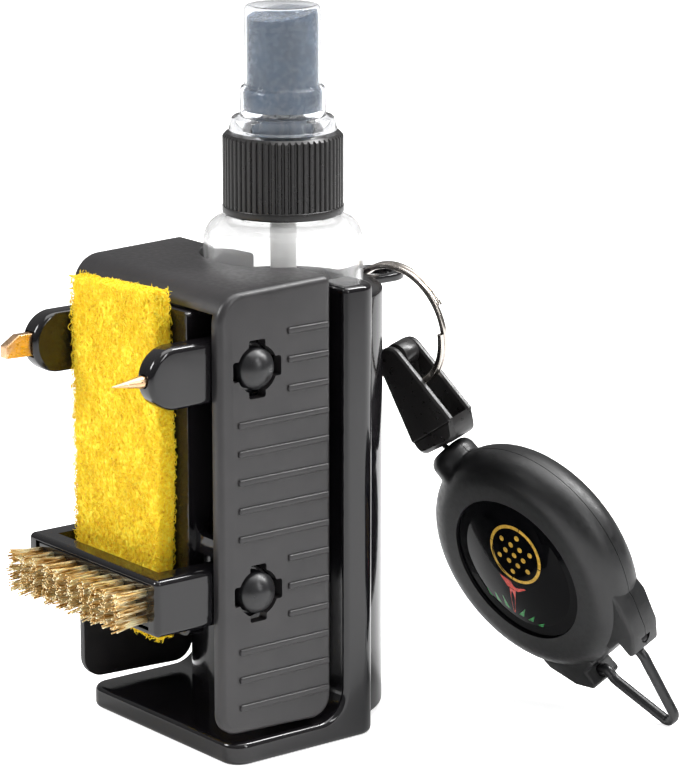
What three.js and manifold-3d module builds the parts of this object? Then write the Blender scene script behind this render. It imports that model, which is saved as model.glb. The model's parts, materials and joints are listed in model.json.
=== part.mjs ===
// Golf club groove brush: a bench-size cleaning station of a glossy bottle holder, a matte cover
// that carries a scouring pad, two folding picks and a folding brass brush, a mist-spray bottle,
// and a retractable reel that hangs from a split ring. Millimetres, +Z up. Everything is drawn with
// y = 0 at the front edge of the cover, and the last lines move the origin to the middle of the
// base's underside.

import * as THREE from 'three';
import { mergeVertices } from 'three/addons/utils/BufferGeometryUtils.js';
import Module from 'manifold-3d';

const wasm = await Module();
wasm.setup();

// ---------------------------------------------------------------- driving dimensions

const gap = 0.3;                  // clearance between neighbouring pieces
const wall = 2.4;                 // wall of the cover

const coverWidth = 50;
const coverDepth = 27.3;
const coverTopRear = 96.1;        // heights above the ground
const coverTopFront = 95.2;
const coverFootRear = 5.6;
const coverFootFront = 6.8;
const coverRoll = 6;              // radius of the rolled front edge
const lipBottom = 91.4;
const ribPitch = 5.72;
const ribTopHeight = 86.4;
const ribHeight = 1.3;
const ribRise = 0.5;
const ribRear = 26.4;
const ribLongFront = 4.4;
const ribShortFront = 16.4;

const pivotY = 9.1;
const pickPivotZ = 79.9;
const brushPivotZ = 34.9;
const pivotHoleRadius = 4.85;
const pivotHeadRadius = 4.2;

const baseWidth = 50.8;
const baseFront = 3.3;
const baseRear = 39;
const baseThickness = 4.7;
const columnFront = 30.3;
const columnTop = 93;

const bottleY = 34.5;
const bottleRadius = 16.1;
const bottleFloor = 7.4;
const tubeInner = bottleRadius + 0.8;
const tubeOuter = 19.2;
const tubeRearOuter = 20;         // the wall is thicker behind the bottle

const landWidth = 32.8;           // panel that backs the pad
const landBottom = 25.6;
const landFront = -1.3;
const padBottom = 24.6;
const padTop = 94.9;
const padThickness = 4.6;

const armThickness = 4.9;
const armLength = 23.2;           // pivot to the tip of the round end
const armHalfHeight = 6.2;
const brushHalfHeight = 5.8;
const brushReach = 22.5;          // pivot to the front of the brush bar
const brushBarThickness = 4;
const bristleLength = 7.3;

const neckRadius = 9.9;
const collarBottom = 103.9;
const collarTop = 120.2;
const collarRadius = 12.1;
const capTop = 145.6;

const lugHeight = 87.1;
const lugThickness = 1.8;
const lugHoleY = 57.6;
const lugReach = 64.2;

const ringRadius = 12.7;          // middle of the flat wire
const ringCentre = new THREE.Vector3(7.1, 58.6, 78.6);
const ringTilt = 9.5;             // degrees that the ring's foot leans back
const ringTwist = 7;              // degrees about the vertical
const ringHang = 24;              // degrees from straight down to where the fork hangs

const forkLean = 26;              // degrees from straight down
const forkHeading = 34;           // degrees from +X towards +Y
const forkTurn = -24;
const forkReach = 14.2;            // ring wire to the underside of the fork
const forkOffset = 1.9;           // middle of the fork to where the ring crosses it
const reelHeading = 27.3;
const reelTurn = -29.5;
const reelDrop = 29;              // underside of the fork to the middle of the reel
const reelRadius = 25.1;
const reelHalf = 6.1;
const bailDrop = 44.2;            // middle of the reel to the tip of the bail wire
const bailWire = 1.1;
const spoolRadius = 14.5;         // where the cord leaves its winding

// ---------------------------------------------------------------- materials

function finish(color, roughness, metalness = 0, extra = {}) {
  return new THREE.MeshStandardMaterial({ color, roughness, metalness, ...extra });
}

const matteBlack = finish(0x2a2a2c, 0.62);
const glossBlack = finish(0x101012, 0.18);
const brass = finish(0xd8a860, 0.3, 1);
const bristleGold = finish(0xcfa24a, 0.35, 1);
const padYellow = finish(0xf2cf1e, 0.95);
const clearPlastic = finish(0xeef2f4, 0.08, 0, { transparent: true, opacity: 0.35 });
const capClear = finish(0xe4eaee, 0.1, 0, { transparent: true, opacity: 0.35 });
const greyBlue = finish(0x6b7a8c, 0.4);
const white = finish(0xf0f0ee, 0.4);
const nickel = finish(0xb9b4aa, 0.2, 1);
const springSteel = finish(0x8d8f92, 0.3, 1);
const rubber = finish(0x202020, 0.9);
const cordBlack = finish(0x18181a, 0.8);
const badgeBlack = finish(0x08080a, 0.08);

// ---------------------------------------------------------------- geometry helpers

// Merges shared vertices and drops the empty triangles at the poles of a turned shape.
function closed(geometry) {
  const bare = geometry.clone();
  bare.deleteAttribute('normal');
  bare.deleteAttribute('uv');
  const merged = mergeVertices(bare, 1e-4);
  const kept = [];
  for (let i = 0; i < merged.index.count; i += 3) {
    const corners = [0, 1, 2].map((k) => merged.index.getX(i + k));
    if (new Set(corners).size === 3) kept.push(...corners);
  }
  merged.setIndex(kept);
  return merged;
}

function toSolid(geometry) {
  const mesh = closed(geometry);
  const vertProperties = new Float32Array(mesh.attributes.position.array);
  const triVerts = new Uint32Array(mesh.index.array);
  return new wasm.Manifold(new wasm.Mesh({ numProp: 3, vertProperties, triVerts }));
}

function toGeometry(solid) {
  const mesh = solid.getMesh();
  const geometry = new THREE.BufferGeometry();
  geometry.setAttribute('position', new THREE.BufferAttribute(new Float32Array(mesh.vertProperties), 3));
  geometry.setIndex(Array.from(mesh.triVerts));
  return geometry;
}

function join(...shapes) {
  return toGeometry(shapes.map(toSolid).reduce((whole, next) => whole.add(next)));
}

function cut(body, ...tools) {
  return toGeometry(tools.map(toSolid).reduce((whole, tool) => whole.subtract(tool), toSolid(body)));
}

function common(one, other) {
  return toGeometry(toSolid(one).intersect(toSolid(other)));
}

function box(x0, x1, y0, y1, z0, z1) {
  const geometry = new THREE.BoxGeometry(x1 - x0, y1 - y0, z1 - z0);
  return geometry.translate((x0 + x1) / 2, (y0 + y1) / 2, (z0 + z1) / 2);
}

// A closed outline through corners [u, v, radius], each corner rounded by an arc of its radius.
function rounded(corners, steps = 3) {
  const points = [];
  corners.forEach(([u, v, radius = 0], i) => {
    const corner = new THREE.Vector2(u, v);
    const before = corners[(i + corners.length - 1) % corners.length];
    const after = corners[(i + 1) % corners.length];
    const back = new THREE.Vector2(before[0], before[1]).sub(corner).normalize();
    const ahead = new THREE.Vector2(after[0], after[1]).sub(corner).normalize();
    if (radius === 0) {
      points.push(corner);
      return;
    }
    const half = Math.acos(THREE.MathUtils.clamp(back.dot(ahead), -1, 1)) / 2;
    const bisector = back.clone().add(ahead).normalize();
    const centre = corner.clone().addScaledVector(bisector, radius / Math.sin(half));
    const start = corner.clone().addScaledVector(back, radius / Math.tan(half)).sub(centre);
    const end = corner.clone().addScaledVector(ahead, radius / Math.tan(half)).sub(centre);
    const turn = Math.atan2(start.cross(end), start.dot(end));
    for (let k = 0; k <= steps; k += 1) {
      points.push(start.clone().rotateAround(new THREE.Vector2(), (turn * k) / steps).add(centre));
    }
  });
  return new THREE.Shape(points);
}

function circle(u, v, radius, segments = 20) {
  const points = [];
  for (let i = 0; i < segments; i += 1) {
    const angle = (2 * Math.PI * i) / segments;
    points.push(new THREE.Vector2(u + radius * Math.cos(angle), v + radius * Math.sin(angle)));
  }
  return new THREE.Shape(points);
}

function extrude(shape, length, bevel) {
  return new THREE.ExtrudeGeometry(shape, {
    depth: length - 2 * bevel,
    bevelEnabled: bevel > 0,
    bevelThickness: bevel,
    bevelSize: bevel,
    bevelOffset: -bevel,
    bevelSegments: 1,
  }).translate(0, 0, bevel);
}

function alongZ(shape, z0, z1, bevel = 0) {
  return extrude(shape, z1 - z0, bevel).translate(0, 0, z0);
}

// The outline is drawn in (y, z) and runs along X.
function alongX(shape, x0, x1, bevel = 0) {
  const swap = new THREE.Matrix4().set(0, 0, 1, 0, 1, 0, 0, 0, 0, 1, 0, 0, 0, 0, 0, 1);
  return extrude(shape, x1 - x0, bevel).applyMatrix4(swap).translate(x0, 0, 0);
}

// The outline is drawn in (x, z) and runs along Y.
function alongY(shape, y0, y1, bevel = 0) {
  return extrude(shape, y1 - y0, bevel).rotateX(Math.PI / 2).translate(0, y1, 0);
}

// Turns a profile of [radius, height] about the Z axis.
function turned(profile, segments = 24) {
  const points = profile.map(([r, h]) => new THREE.Vector2(r, h));
  return new THREE.LatheGeometry(points, segments).rotateX(Math.PI / 2);
}

// A ring or tube profile closes on itself instead of ending on the axis.
function turnedLoop(profile, segments = 24) {
  return turned([...profile, profile[0]], segments);
}

function rod(radius, z0, z1, segments = 16) {
  return turned([[0, z0], [radius, z0], [radius, z1], [0, z1]], segments);
}

// Quarter arc from angle a to angle b about (r, h), for turned profiles.
function arc(r, h, radius, a, b, steps = 4) {
  const points = [];
  for (let i = 0; i <= steps; i += 1) {
    const angle = THREE.MathUtils.degToRad(a + ((b - a) * i) / steps);
    points.push([r + radius * Math.cos(angle), h + radius * Math.sin(angle)]);
  }
  return points;
}

function pointX(geometry) {
  return geometry.rotateY(Math.PI / 2);
}

function pointFront(geometry) {
  return geometry.rotateX(Math.PI / 2);
}

function named(name, geometry, material) {
  const mesh = new THREE.Mesh(geometry, material.clone());
  mesh.name = name;
  return mesh;
}

const model = new THREE.Group();

// ---------------------------------------------------------------- cover

function pivotOpening(z) {
  const side = coverWidth;
  const round = alongX(circle(pivotY, z, pivotHoleRadius, 16), -side, side);
  const notch = 2;
  const reach = 5.8;
  const tall = box(-side, side, pivotY - notch, pivotY + notch, z - reach, z + reach);
  const long = box(-side, side, pivotY - reach, pivotY + reach, z - notch, z + notch);
  return [round, tall, long];
}

function coverRibs() {
  const ribs = [];
  const half = coverWidth / 2;
  for (let i = 0; i < 14; i += 1) {
    const besidePivot = i < 3 || (i > 7 && i < 11);
    const front = besidePivot ? ribShortFront : ribLongFront;
    const z = ribTopHeight - i * ribPitch;
    for (const side of [-1, 1]) {
      const inner = side * (half - wall / 2);
      const outer = side * (half + ribRise);
      ribs.push(box(Math.min(inner, outer), Math.max(inner, outer), front, ribRear,
        z - ribHeight / 2, z + ribHeight / 2));
    }
  }
  return ribs;
}

function cover() {
  const half = coverWidth / 2;
  const outline = rounded([
    [0, coverFootFront, 4.5], [coverDepth, coverFootRear, 4.5],
    [coverDepth, coverTopRear, 1.5], [0, coverTopFront, coverRoll],
  ], 5);
  const shell = alongX(outline, -half, half, 1.3);
  const beyond = 40;
  const hollow = alongX(rounded([
    [-beyond, -beyond], [beyond, -beyond], [beyond, coverTopRear - wall],
    [wall, coverTopFront - wall, 1.2], [wall, lipBottom], [-beyond, lipBottom],
  ], 5), -half + wall, half - wall);
  const bottleNotch = rod(bottleRadius + 0.8, 80, 110, 32).translate(0, bottleY, 0);
  const openings = [...pivotOpening(pickPivotZ), ...pivotOpening(brushPivotZ)];
  const plain = cut(shell, hollow, bottleNotch);
  return cut(join(plain, ...coverRibs()), ...openings);
}

model.add(named('cover', cover(), matteBlack));

// ---------------------------------------------------------------- holder

const screwHeights = [82, 52];

function screwBoss(z) {
  const boss = pointFront(rod(3.4, -bottleY + tubeInner + 1, -2.5, 16));
  return boss.translate(0, 0, z);
}

function screwPilot(z) {
  return pointFront(rod(1.4, -13, 0, 12)).translate(0, 0, z);
}

function holder() {
  const half = baseWidth / 2;
  const footing = alongX(rounded([
    [baseFront, 0, 1.1], [baseRear, 0, 2], [baseRear, columnTop, 1.1],
    [columnFront, columnTop, 1.1], [columnFront, baseThickness, 6], [baseFront, baseThickness, 1.2],
  ]), -half, half, 1);
  const plan = alongZ(rounded([
    [-half, baseFront, 4.2], [half, baseFront, 4.2], [half, baseRear, 4], [-half, baseRear, 4],
  ], 5), -1, columnTop + 1);
  const tubeFoot = 1.2;
  const tubeOf = (radius) => turned([
    [0, tubeFoot], ...arc(radius - 1, tubeFoot + 1, 1, -90, 0, 3), [radius, columnTop], [0, columnTop],
  ], 36).translate(0, bottleY, 0);
  // Behind the bottle the wall ends lower, level with the top of the lug.
  const rearRim = lugHeight + lugThickness;
  const behind = box(-baseWidth, baseWidth, bottleY, bottleY + baseWidth, 0, rearRim);
  const ahead = box(-baseWidth, baseWidth, bottleY - baseWidth, bottleY + 0.5, 0, columnTop + 1);
  const tube = join(common(tubeOf(tubeOuter), ahead), common(tubeOf(tubeRearOuter), behind));
  const bore = rod(tubeInner, bottleFloor - gap, columnTop + 5, 32).translate(0, bottleY, 0);
  const lugSpan = 5.3;
  const lugRoot = bottleY + tubeInner + 1;
  const lug = alongZ(rounded([
    [-lugSpan, lugRoot], [lugSpan, lugRoot],
    [lugSpan, lugReach, lugSpan - 0.2], [-lugSpan, lugReach, lugSpan - 0.2],
  ], 5), lugHeight, lugHeight + lugThickness, 0.4);
  const lugHole = rod(3.8, lugHeight - 1, lugHeight + lugThickness + 1, 20).translate(0, lugHoleY, 0);
  const bosses = screwHeights.map(screwBoss);
  const solid = join(common(footing, plan), tube, lug, ...bosses);
  return cut(solid, bore, lugHole, ...screwHeights.map(screwPilot));
}

model.add(named('bottle_holder', holder(), glossBlack));

// ---------------------------------------------------------------- panel behind the pad

function frontPanel() {
  const land = landWidth / 2;
  const side = coverWidth / 2 - wall - gap;
  const top = lipBottom - 0.5;
  const back = 2.2;
  const channelBack = 16;
  // The folded pick and blade swing back through a slot beside each edge of the panel.
  const slotBottom = 46.6;
  const parts = [
    alongY(rounded([
      [-land, landBottom, 2], [land, landBottom, 2], [land, top, 1], [-land, top, 1],
    ], 3), landFront, back),
    box(-side, side, 0.3, back, 43, 60),
  ];
  for (const sign of [-1, 1]) {
    const x0 = Math.min(sign * (land - 1.5), sign * land);
    parts.push(box(x0, x0 + 1.5, back - 0.5, channelBack + 1, 43.2, top - 0.2));
    const w0 = Math.min(sign * (land - 1), sign * side);
    parts.push(box(w0, w0 + side - land + 1, channelBack, channelBack + 1.2, 43.4, top - 0.4));
  }
  const slots = [-1, 1].map((sign) => {
    const from = Math.min(sign * land, sign * (side + 3));
    return alongY(rounded([
      [from, slotBottom, 2.4], [from + side + 3 - land, slotBottom, 2.4],
      [from + side + 3 - land, 70], [from, 70],
    ]), -1, back + 1);
  });
  const holes = screwHeights.map((z) => pointFront(rod(1.4, -10, 5, 12)).translate(0, 0, z));
  const sinks = screwHeights.map((z) => pointFront(turned([
    [0, -0.8], [1.4, -0.8], [3.3, 1.2], [3.3, 3], [0, 3],
  ], 16)).translate(0, 0, z));
  return cut(join(...parts), ...slots, ...holes, ...sinks);
}

model.add(named('front_panel', frontPanel(), glossBlack));

function panelScrew(z) {
  return pointFront(turned([
    [0, -11], [0.7, -10.6], [1.05, -9.5], [1.05, -0.6], [2.8, 1], [2.8, 1.15], [0, 1.15],
  ], 12)).translate(0, 0, z);
}

screwHeights.forEach((z, i) => {
  model.add(named(['panel_screw_upper', 'panel_screw_lower'][i], panelScrew(z), springSteel));
});

// The pad is cut by hand: narrower than the panel, a little wider at its waist, and higher on the right.
function scouringPad() {
  const left = -17;
  const waist = 13.5;
  const waistHeight = 62;
  const back = landFront - gap;
  return alongY(rounded([
    [left + 0.3, padBottom, 1.5], [waist - 1.9, padBottom, 1.5], [waist, waistHeight, 12],
    [waist - 1.6, padTop, 1.5], [left, padTop - 1.3, 1.5],
  ], 3), back - padThickness, back, 0.5);
}

model.add(named('scouring_pad', scouringPad(), padYellow));

// ---------------------------------------------------------------- folding arms

const armOuter = coverWidth / 2 - wall - gap;
const armInner = armOuter - armThickness;
const shankRadius = 2;

// A stud with a domed head in the cover's hole and a shank in the arm, pointing along +X.
function pivotStud() {
  const face = coverWidth / 2;
  const dome = arc(0, face - 2.4, pivotHeadRadius + 0.45, 29, 90, 4);
  dome[dome.length - 1][0] = 0;
  return pointX(turned([
    [0, armInner + 1], [shankRadius, armInner + 1], [shankRadius, armOuter + gap],
    [pivotHeadRadius, armOuter + gap], ...dome,
  ], 16));
}

function addStud(parent, name, z, sign) {
  const stud = named(name, pivotStud(), matteBlack);
  stud.position.set(0, pivotY, z);
  if (sign < 0) stud.rotation.z = Math.PI;
  parent.add(stud);
}

// The arm points forwards from its pivot at the local origin and has a round end.
function armBlank(socket) {
  const outline = rounded([
    [-armLength, -armHalfHeight, armHalfHeight - 0.1], [armHalfHeight, -armHalfHeight, armHalfHeight - 0.1],
    [armHalfHeight, armHalfHeight, armHalfHeight - 0.1], [-armLength, armHalfHeight, armHalfHeight - 0.1],
  ], 5);
  const blank = alongX(outline, armInner, armOuter, 1);
  const bore = pointX(rod(shankRadius + gap, armInner + 0.6, armOuter + 5, 20));
  return cut(blank, bore, socket);
}

const armMiddle = (armInner + armOuter) / 2;
const toolShank = 4;
const pickRadius = 1.1;
const pickReach = 7.3;            // end of the arm to the tip of the pick

function pickPoint() {
  const root = armLength;
  return pointFront(turned([
    [0, root - toolShank], [pickRadius, root - toolShank], [pickRadius, root + gap],
    [pickRadius + 0.15, root + gap + 0.1], [pickRadius + 0.05, root + 1.2],
    [0.12, root + pickReach - 0.1], [0, root + pickReach],
  ], 16)).translate(armMiddle, 0, 0);
}

function pickSocket() {
  const socket = rod(pickRadius + gap, armLength - toolShank - gap, armLength + 5, 16);
  return pointFront(socket).translate(armMiddle, 0, 0);
}

const bladeHalf = 2.35;
const bladeThickness = 2.2;
const bladeReach = 5.8;

function scraperBlade() {
  const root = -armLength;
  const outline = rounded([
    [root - bladeReach, -bladeHalf + 0.3, 0.3], [root + toolShank, -bladeHalf],
    [root + toolShank, bladeHalf], [root - bladeReach + 3, bladeHalf], [root - bladeReach, 0.4, 0.3],
  ], 2);
  return alongX(outline, armMiddle - bladeThickness / 2, armMiddle + bladeThickness / 2, 0.25);
}

function bladeSocket() {
  const half = bladeThickness / 2 + gap;
  return box(armMiddle - half, armMiddle + half, -armLength - 5, -armLength + toolShank + gap,
    -bladeHalf - gap, bladeHalf + gap);
}

function pickArm(side, tool, socket, material, toolName) {
  const sign = side === 'right' ? 1 : -1;
  const pivotGroup = new THREE.Group();
  pivotGroup.position.set(0, pivotY, pickPivotZ);
  const flip = new THREE.Matrix4().makeTranslation(sign < 0 ? -2 * armMiddle : 0, 0, 0);
  const arm = armBlank(socket);
  if (sign < 0) {
    // The left arm is the mirror image of the right one.
    arm.applyMatrix4(new THREE.Matrix4().makeScale(-1, 1, 1));
    arm.setIndex(Array.from(arm.index.array).reverse());
  }
  const bit = tool.applyMatrix4(flip);
  pivotGroup.add(named(`${side}_pick_arm`, arm, glossBlack));
  pivotGroup.add(named(toolName, bit, material));
  model.add(pivotGroup);
  addStud(model, `${side}_pick_pivot`, pickPivotZ, sign);
}

pickArm('right', pickPoint(), pickSocket(), brass, 'pick_point');
pickArm('left', scraperBlade(), bladeSocket(), brass, 'scraper_blade');

// ---------------------------------------------------------------- brush

const stripRecess = 1.6;
const stripHalfWidth = 19.2;
const stripHalfHeight = 4.4;

function brushFrame() {
  const h = brushHalfHeight;
  const sideProfile = rounded([
    [-brushReach, -h, 1.2], [h, -h, h - 0.1], [h, h, h - 0.1], [-brushReach, h, 1.2],
  ], 4);
  const blank = alongX(sideProfile, -armOuter, armOuter, 0.8);
  const plan = alongZ(rounded([
    [-armOuter, -brushReach, 2.2], [armOuter, -brushReach, 2.2], [armOuter, h + 1], [-armOuter, h + 1],
  ], 4), -h - 1, h + 1);
  const inside = box(-armInner, armInner, -brushReach + brushBarThickness, h + 2, -h - 1, h + 1);
  const recess = box(-stripHalfWidth - gap, stripHalfWidth + gap, -brushReach - 1,
    -brushReach + stripRecess + gap, -stripHalfHeight - gap, stripHalfHeight + gap);
  const bores = [-1, 1].map((sign) => {
    const bore = pointX(rod(shankRadius + gap, armInner + 0.6, armOuter + 5, 20));
    return sign < 0 ? bore.rotateZ(Math.PI) : bore;
  });
  return cut(common(blank, plan), inside, recess, ...bores);
}

function bristles() {
  const strip = box(-stripHalfWidth, stripHalfWidth, -brushReach, -brushReach + stripRecess,
    -stripHalfHeight, stripHalfHeight);
  const tufts = [];
  const columns = 10;
  const rows = 3;
  const columnPitch = 3.85;
  const rowPitch = 2.9;
  for (let c = 0; c < columns; c += 1) {
    for (let r = 0; r < rows; r += 1) {
      const x = (c - (columns - 1) / 2) * columnPitch;
      const z = (r - (rows - 1) / 2) * rowPitch;
      // Each tuft starts inside the strip, so the whole filling is one piece.
      const tuft = pointFront(turned([
        [0, -0.5], [1.05, -0.5], [1.4, bristleLength], [0, bristleLength],
      ], 5));
      tufts.push(tuft.translate(x, -brushReach, z));
    }
  }
  return join(strip, ...tufts);
}

const brushGroup = new THREE.Group();
brushGroup.position.set(0, pivotY, brushPivotZ);
brushGroup.add(named('brush_frame', brushFrame(), glossBlack));
brushGroup.add(named('brass_bristles', bristles(), bristleGold));
model.add(brushGroup);
addStud(model, 'right_brush_pivot', brushPivotZ, 1);
addStud(model, 'left_brush_pivot', brushPivotZ, -1);

// ---------------------------------------------------------------- spray bottle

function bottle() {
  const thick = 0.9;
  const shoulder = 97;
  const neckFoot = 103.2;
  const neckTop = 116;
  const squareness = 0.72;
  const inner = bottleRadius - thick;
  const shoulderCurve = (radius, height) => {
    const points = [];
    // A squared ellipse: the side stays upright for longer before it turns in to the neck.
    for (let i = 0; i <= 5; i += 1) {
      const angle = (Math.PI / 2) * (i / 5);
      const reach = Math.cos(angle) ** squareness;
      const rise = Math.sin(angle) ** squareness;
      points.push([neckRadius + (radius - neckRadius) * reach, shoulder + height * rise]);
    }
    return points;
  };
  return turned([
    [0, bottleFloor + 1.2], [8, bottleFloor + 0.8], [12, bottleFloor],
    ...arc(bottleRadius - 2.5, bottleFloor + 2.5, 2.5, -90, 0, 2),
    ...shoulderCurve(bottleRadius, neckFoot - shoulder), [neckRadius, neckTop],
    [neckRadius - 2, neckTop], [neckRadius - 2, neckFoot - 1],
    ...shoulderCurve(inner, neckFoot - shoulder - 1.6).reverse().slice(1),
    ...arc(inner - 2, bottleFloor + 3.4, 2, 0, -90, 2), [0, bottleFloor + 2.2],
  ], 28);
}

function collar() {
  const outline = [];
  const flutes = 30;
  for (let i = 0; i < flutes; i += 1) {
    [[0, 0.45], [0.25, 0], [0.75, 0]].forEach(([part, depth]) => {
      const angle = (2 * Math.PI * (i + part)) / flutes;
      const radius = collarRadius - depth;
      outline.push(new THREE.Vector2(radius * Math.cos(angle), radius * Math.sin(angle)));
    });
  }
  const ribbed = alongZ(new THREE.Shape(outline), collarBottom + 1.6, collarTop);
  const foot = rod(collarRadius + 0.1, collarBottom, collarBottom + 1.7, 30);
  const inside = rod(neckRadius + 0.5, collarBottom - 1, collarTop - 2, 24);
  const mouth = rod(6.6, collarBottom, collarTop + 1, 24);
  return cut(join(ribbed, foot), inside, mouth);
}

const stemRadius = 1.3;
const stemTop = 131.5;
const pistonRadius = 1.75;
const pistonHeight = 111;         // underside of the piston with the pump up
const pumpBore = 2.05;
const springSeat = 101.6;

function pumpBody() {
  return turnedLoop([
    [1.85, 92], [2.65, 92], [2.65, 104.6], [4, 105.4], [4, 117.2], [9.6, 117.4], [9.6, 117.9],
    [6.1, 117.9], [6.1, 121.2], [4.6, 121.6], [4.6, 123], [stemRadius + gap, 123],
    [stemRadius + gap, 115], [pumpBore, 114.5], [pumpBore, 101], [1.7, 100.9], [1.7, 98.2],
    [0.8, 97.8], [0.8, 97.3], [1.85, 97.3],
  ], 14);
}

function springPath(radius, z0, z1, turns) {
  class Coil extends THREE.Curve {
    getPoint(t, target = new THREE.Vector3()) {
      const angle = 2 * Math.PI * turns * t;
      return target.set(radius * Math.cos(angle), radius * Math.sin(angle), z0 + (z1 - z0) * t);
    }
  }
  return new Coil();
}

function sweep(section, path, steps) {
  return new THREE.ExtrudeGeometry(section, { steps, extrudePath: path, bevelEnabled: false });
}

function pumpStem() {
  return turnedLoop([
    [0.5, pistonHeight], [pistonRadius, pistonHeight], [pistonRadius, pistonHeight + 2.6],
    [stemRadius, pistonHeight + 3], [stemRadius, stemTop], [0.5, stemTop],
  ], 12);
}

function pumpSpring() {
  const path = springPath(1.45, springSeat, pistonHeight - 0.6, 4.5);
  return sweep(circle(0, 0, 0.25, 4), path, 54);
}

// The ball rests on the seat below the spring and lets liquid in from the dip tube.
function checkBall() {
  return closed(new THREE.SphereGeometry(1.3, 8, 6)).translate(0, 0, 99.7);
}

function neckGasket() {
  const inner = 6.6;
  const outer = neckRadius - 0.4;
  return turnedLoop([[inner, 116.3], [outer, 116.3], [outer, 117.05], [inner, 117.05]], 16);
}

function dipTube() {
  const foot = 10.5;
  const top = 97;
  return turnedLoop([[0.9, foot], [1.5, foot], [1.5, top], [0.9, top]], 10);
}

// The button fills the overcap. It sprays to the back, and its top slopes up towards that side.
const nozzleHeight = 137.5;

function pointBack(geometry) {
  return pointFront(geometry).rotateZ(Math.PI);
}

function button() {
  const body = turned([
    [0, 124.6], [7.6, 124.6], [7.6, 128.1], [7.2, 128.8], [6.8, 129.1], [6.75, 142.8], [6.4, 144.8],
    [0, 144.8],
  ], 24);
  const slope = box(-9, 9, -9, 9, 0, 6).rotateX(THREE.MathUtils.degToRad(9)).translate(0, 0, 143.9);
  const dish = new THREE.SphereGeometry(14, 20, 14).translate(0, 0.5, 157);
  const skirt = rod(6.7, 120, 127.8, 24);
  const turret = rod(5.1, 120, 131, 24);
  const socket = rod(stemRadius + gap, 125, stemTop + gap, 16);
  const nozzleSeat = pointBack(rod(2.3, 4.4, 9, 16)).translate(0, 0, nozzleHeight);
  return cut(body, slope, closed(dish), skirt, turret, socket, nozzleSeat);
}

function nozzle() {
  return pointBack(turnedLoop([[0.4, 4.8], [2, 4.8], [2, 6], [0.9, 6], [0.4, 5.5]], 16))
    .translate(0, 0, nozzleHeight);
}

function overcap() {
  const thin = 0.5;
  return turned([
    [10.9, 120.6], [10.2, 123.2], [8.6, 123.4], [8.45, 129.2], [7.7, 129.6], [7.6, capTop - 1],
    ...arc(6.6, capTop - 1, 1, 0, 90, 2).slice(1), [0, capTop], [0, capTop - thin],
    ...arc(6.5, capTop - thin - 0.6, 0.6, 90, 0, 2), [7.7 - thin, 129.9], [8.45 - thin, 129],
    [8.6 - thin, 124], [7.95, 123.2], [7.95, 120.6], [10.9, 120.6],
  ], 24);
}

const bottleGroup = new THREE.Group();
bottleGroup.position.y = bottleY;
bottleGroup.add(named('spray_bottle', bottle(), clearPlastic));
bottleGroup.add(named('ribbed_collar', collar(), matteBlack));
bottleGroup.add(named('neck_gasket', neckGasket(), rubber));
bottleGroup.add(named('pump_body', pumpBody(), white));
bottleGroup.add(named('pump_stem', pumpStem(), white));
bottleGroup.add(named('pump_spring', pumpSpring(), springSteel));
bottleGroup.add(named('check_ball', checkBall(), springSteel));
bottleGroup.add(named('dip_tube', dipTube(), white));
bottleGroup.add(named('spray_button', button(), greyBlue));
bottleGroup.add(named('spray_nozzle', nozzle(), white));
bottleGroup.add(named('overcap', overcap(), capClear));
model.add(bottleGroup);

// ---------------------------------------------------------------- split ring and fork

const rad = THREE.MathUtils.degToRad;

function chainFrame(lean, heading, turn) {
  const swing = new THREE.Matrix4().makeRotationZ(rad(heading));
  const tilt = new THREE.Matrix4().makeRotationY(-rad(lean));
  const roll = new THREE.Matrix4().makeRotationZ(rad(turn));
  return new THREE.Quaternion().setFromRotationMatrix(swing.multiply(tilt).multiply(roll));
}

function along(quaternion, distance) {
  return new THREE.Vector3(0, 0, -distance).applyQuaternion(quaternion);
}

// Two flat turns of wire side by side, one running into the other.
function splitRing() {
  const pitch = 0.97;
  const turns = 1.93;
  const wide = 0.6;
  const thin = 0.33;
  const flat = new THREE.Shape([[-wide, -thin], [wide, -thin], [wide, thin], [-wide, thin]]
    .map(([u, v]) => new THREE.Vector2(u, v)));
  const path = springPath(ringRadius, -pitch * turns / 2, pitch * turns / 2, turns);
  return sweep(flat, path, 64).rotateX(Math.PI / 2);
}

const ring = named('split_ring', splitRing(), nickel);
ring.position.copy(ringCentre);
ring.rotation.set(rad(ringTilt), 0, rad(ringTwist), 'ZXY');
model.add(ring);

const hang = new THREE.Vector3(Math.sin(rad(ringHang)), 0, -Math.cos(rad(ringHang)));
hang.applyEuler(ring.rotation);
const forkGroup = new THREE.Group();
forkGroup.position.copy(ringCentre).addScaledVector(hang, ringRadius);
forkGroup.quaternion.copy(chainFrame(forkLean, forkHeading, forkTurn));
forkGroup.position.add(new THREE.Vector3(-forkOffset, 0, 0).applyQuaternion(forkGroup.quaternion));

const forkHalfGap = 2.3;
const forkPlate = 1.6;
const forkHalfWidth = 4.9;
const pinHeight = 6.8;

function strapFork() {
  const outer = forkHalfGap + forkPlate;
  // Each cheek is narrow and round at the pin and widens towards the foot.
  const top = 9.4;
  const lean = 3.3;
  const foot = -forkReach + 3.6;
  const cheek = rounded([
    [-forkHalfWidth, foot - 0.6, 0.6], [forkHalfWidth + lean, foot + 1.4, 0.6],
    [forkHalfWidth - 3.2, top, 3], [-forkHalfWidth + 0.7, top, 3],
  ], 4);
  const block = rounded([
    [-forkHalfWidth, foot], [-forkHalfWidth + 0.6, -forkReach, 2.2],
    [forkHalfWidth + lean - 1.4, -forkReach + 1, 2.2], [forkHalfWidth + lean, foot + 2],
  ], 3);
  const parts = [
    alongY(cheek, -outer, -forkHalfGap, 0.4),
    alongY(cheek, forkHalfGap, outer, 0.4),
    alongY(block, -outer, outer, 0.8),
  ];
  const pinHole = pointFront(rod(1.5, -outer + 0.6, outer - 0.6, 14)).translate(0, 0, pinHeight);
  const cordHole = rod(2.1, -forkReach - 1, -5, 16);
  return cut(join(...parts), pinHole, cordHole);
}

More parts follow.
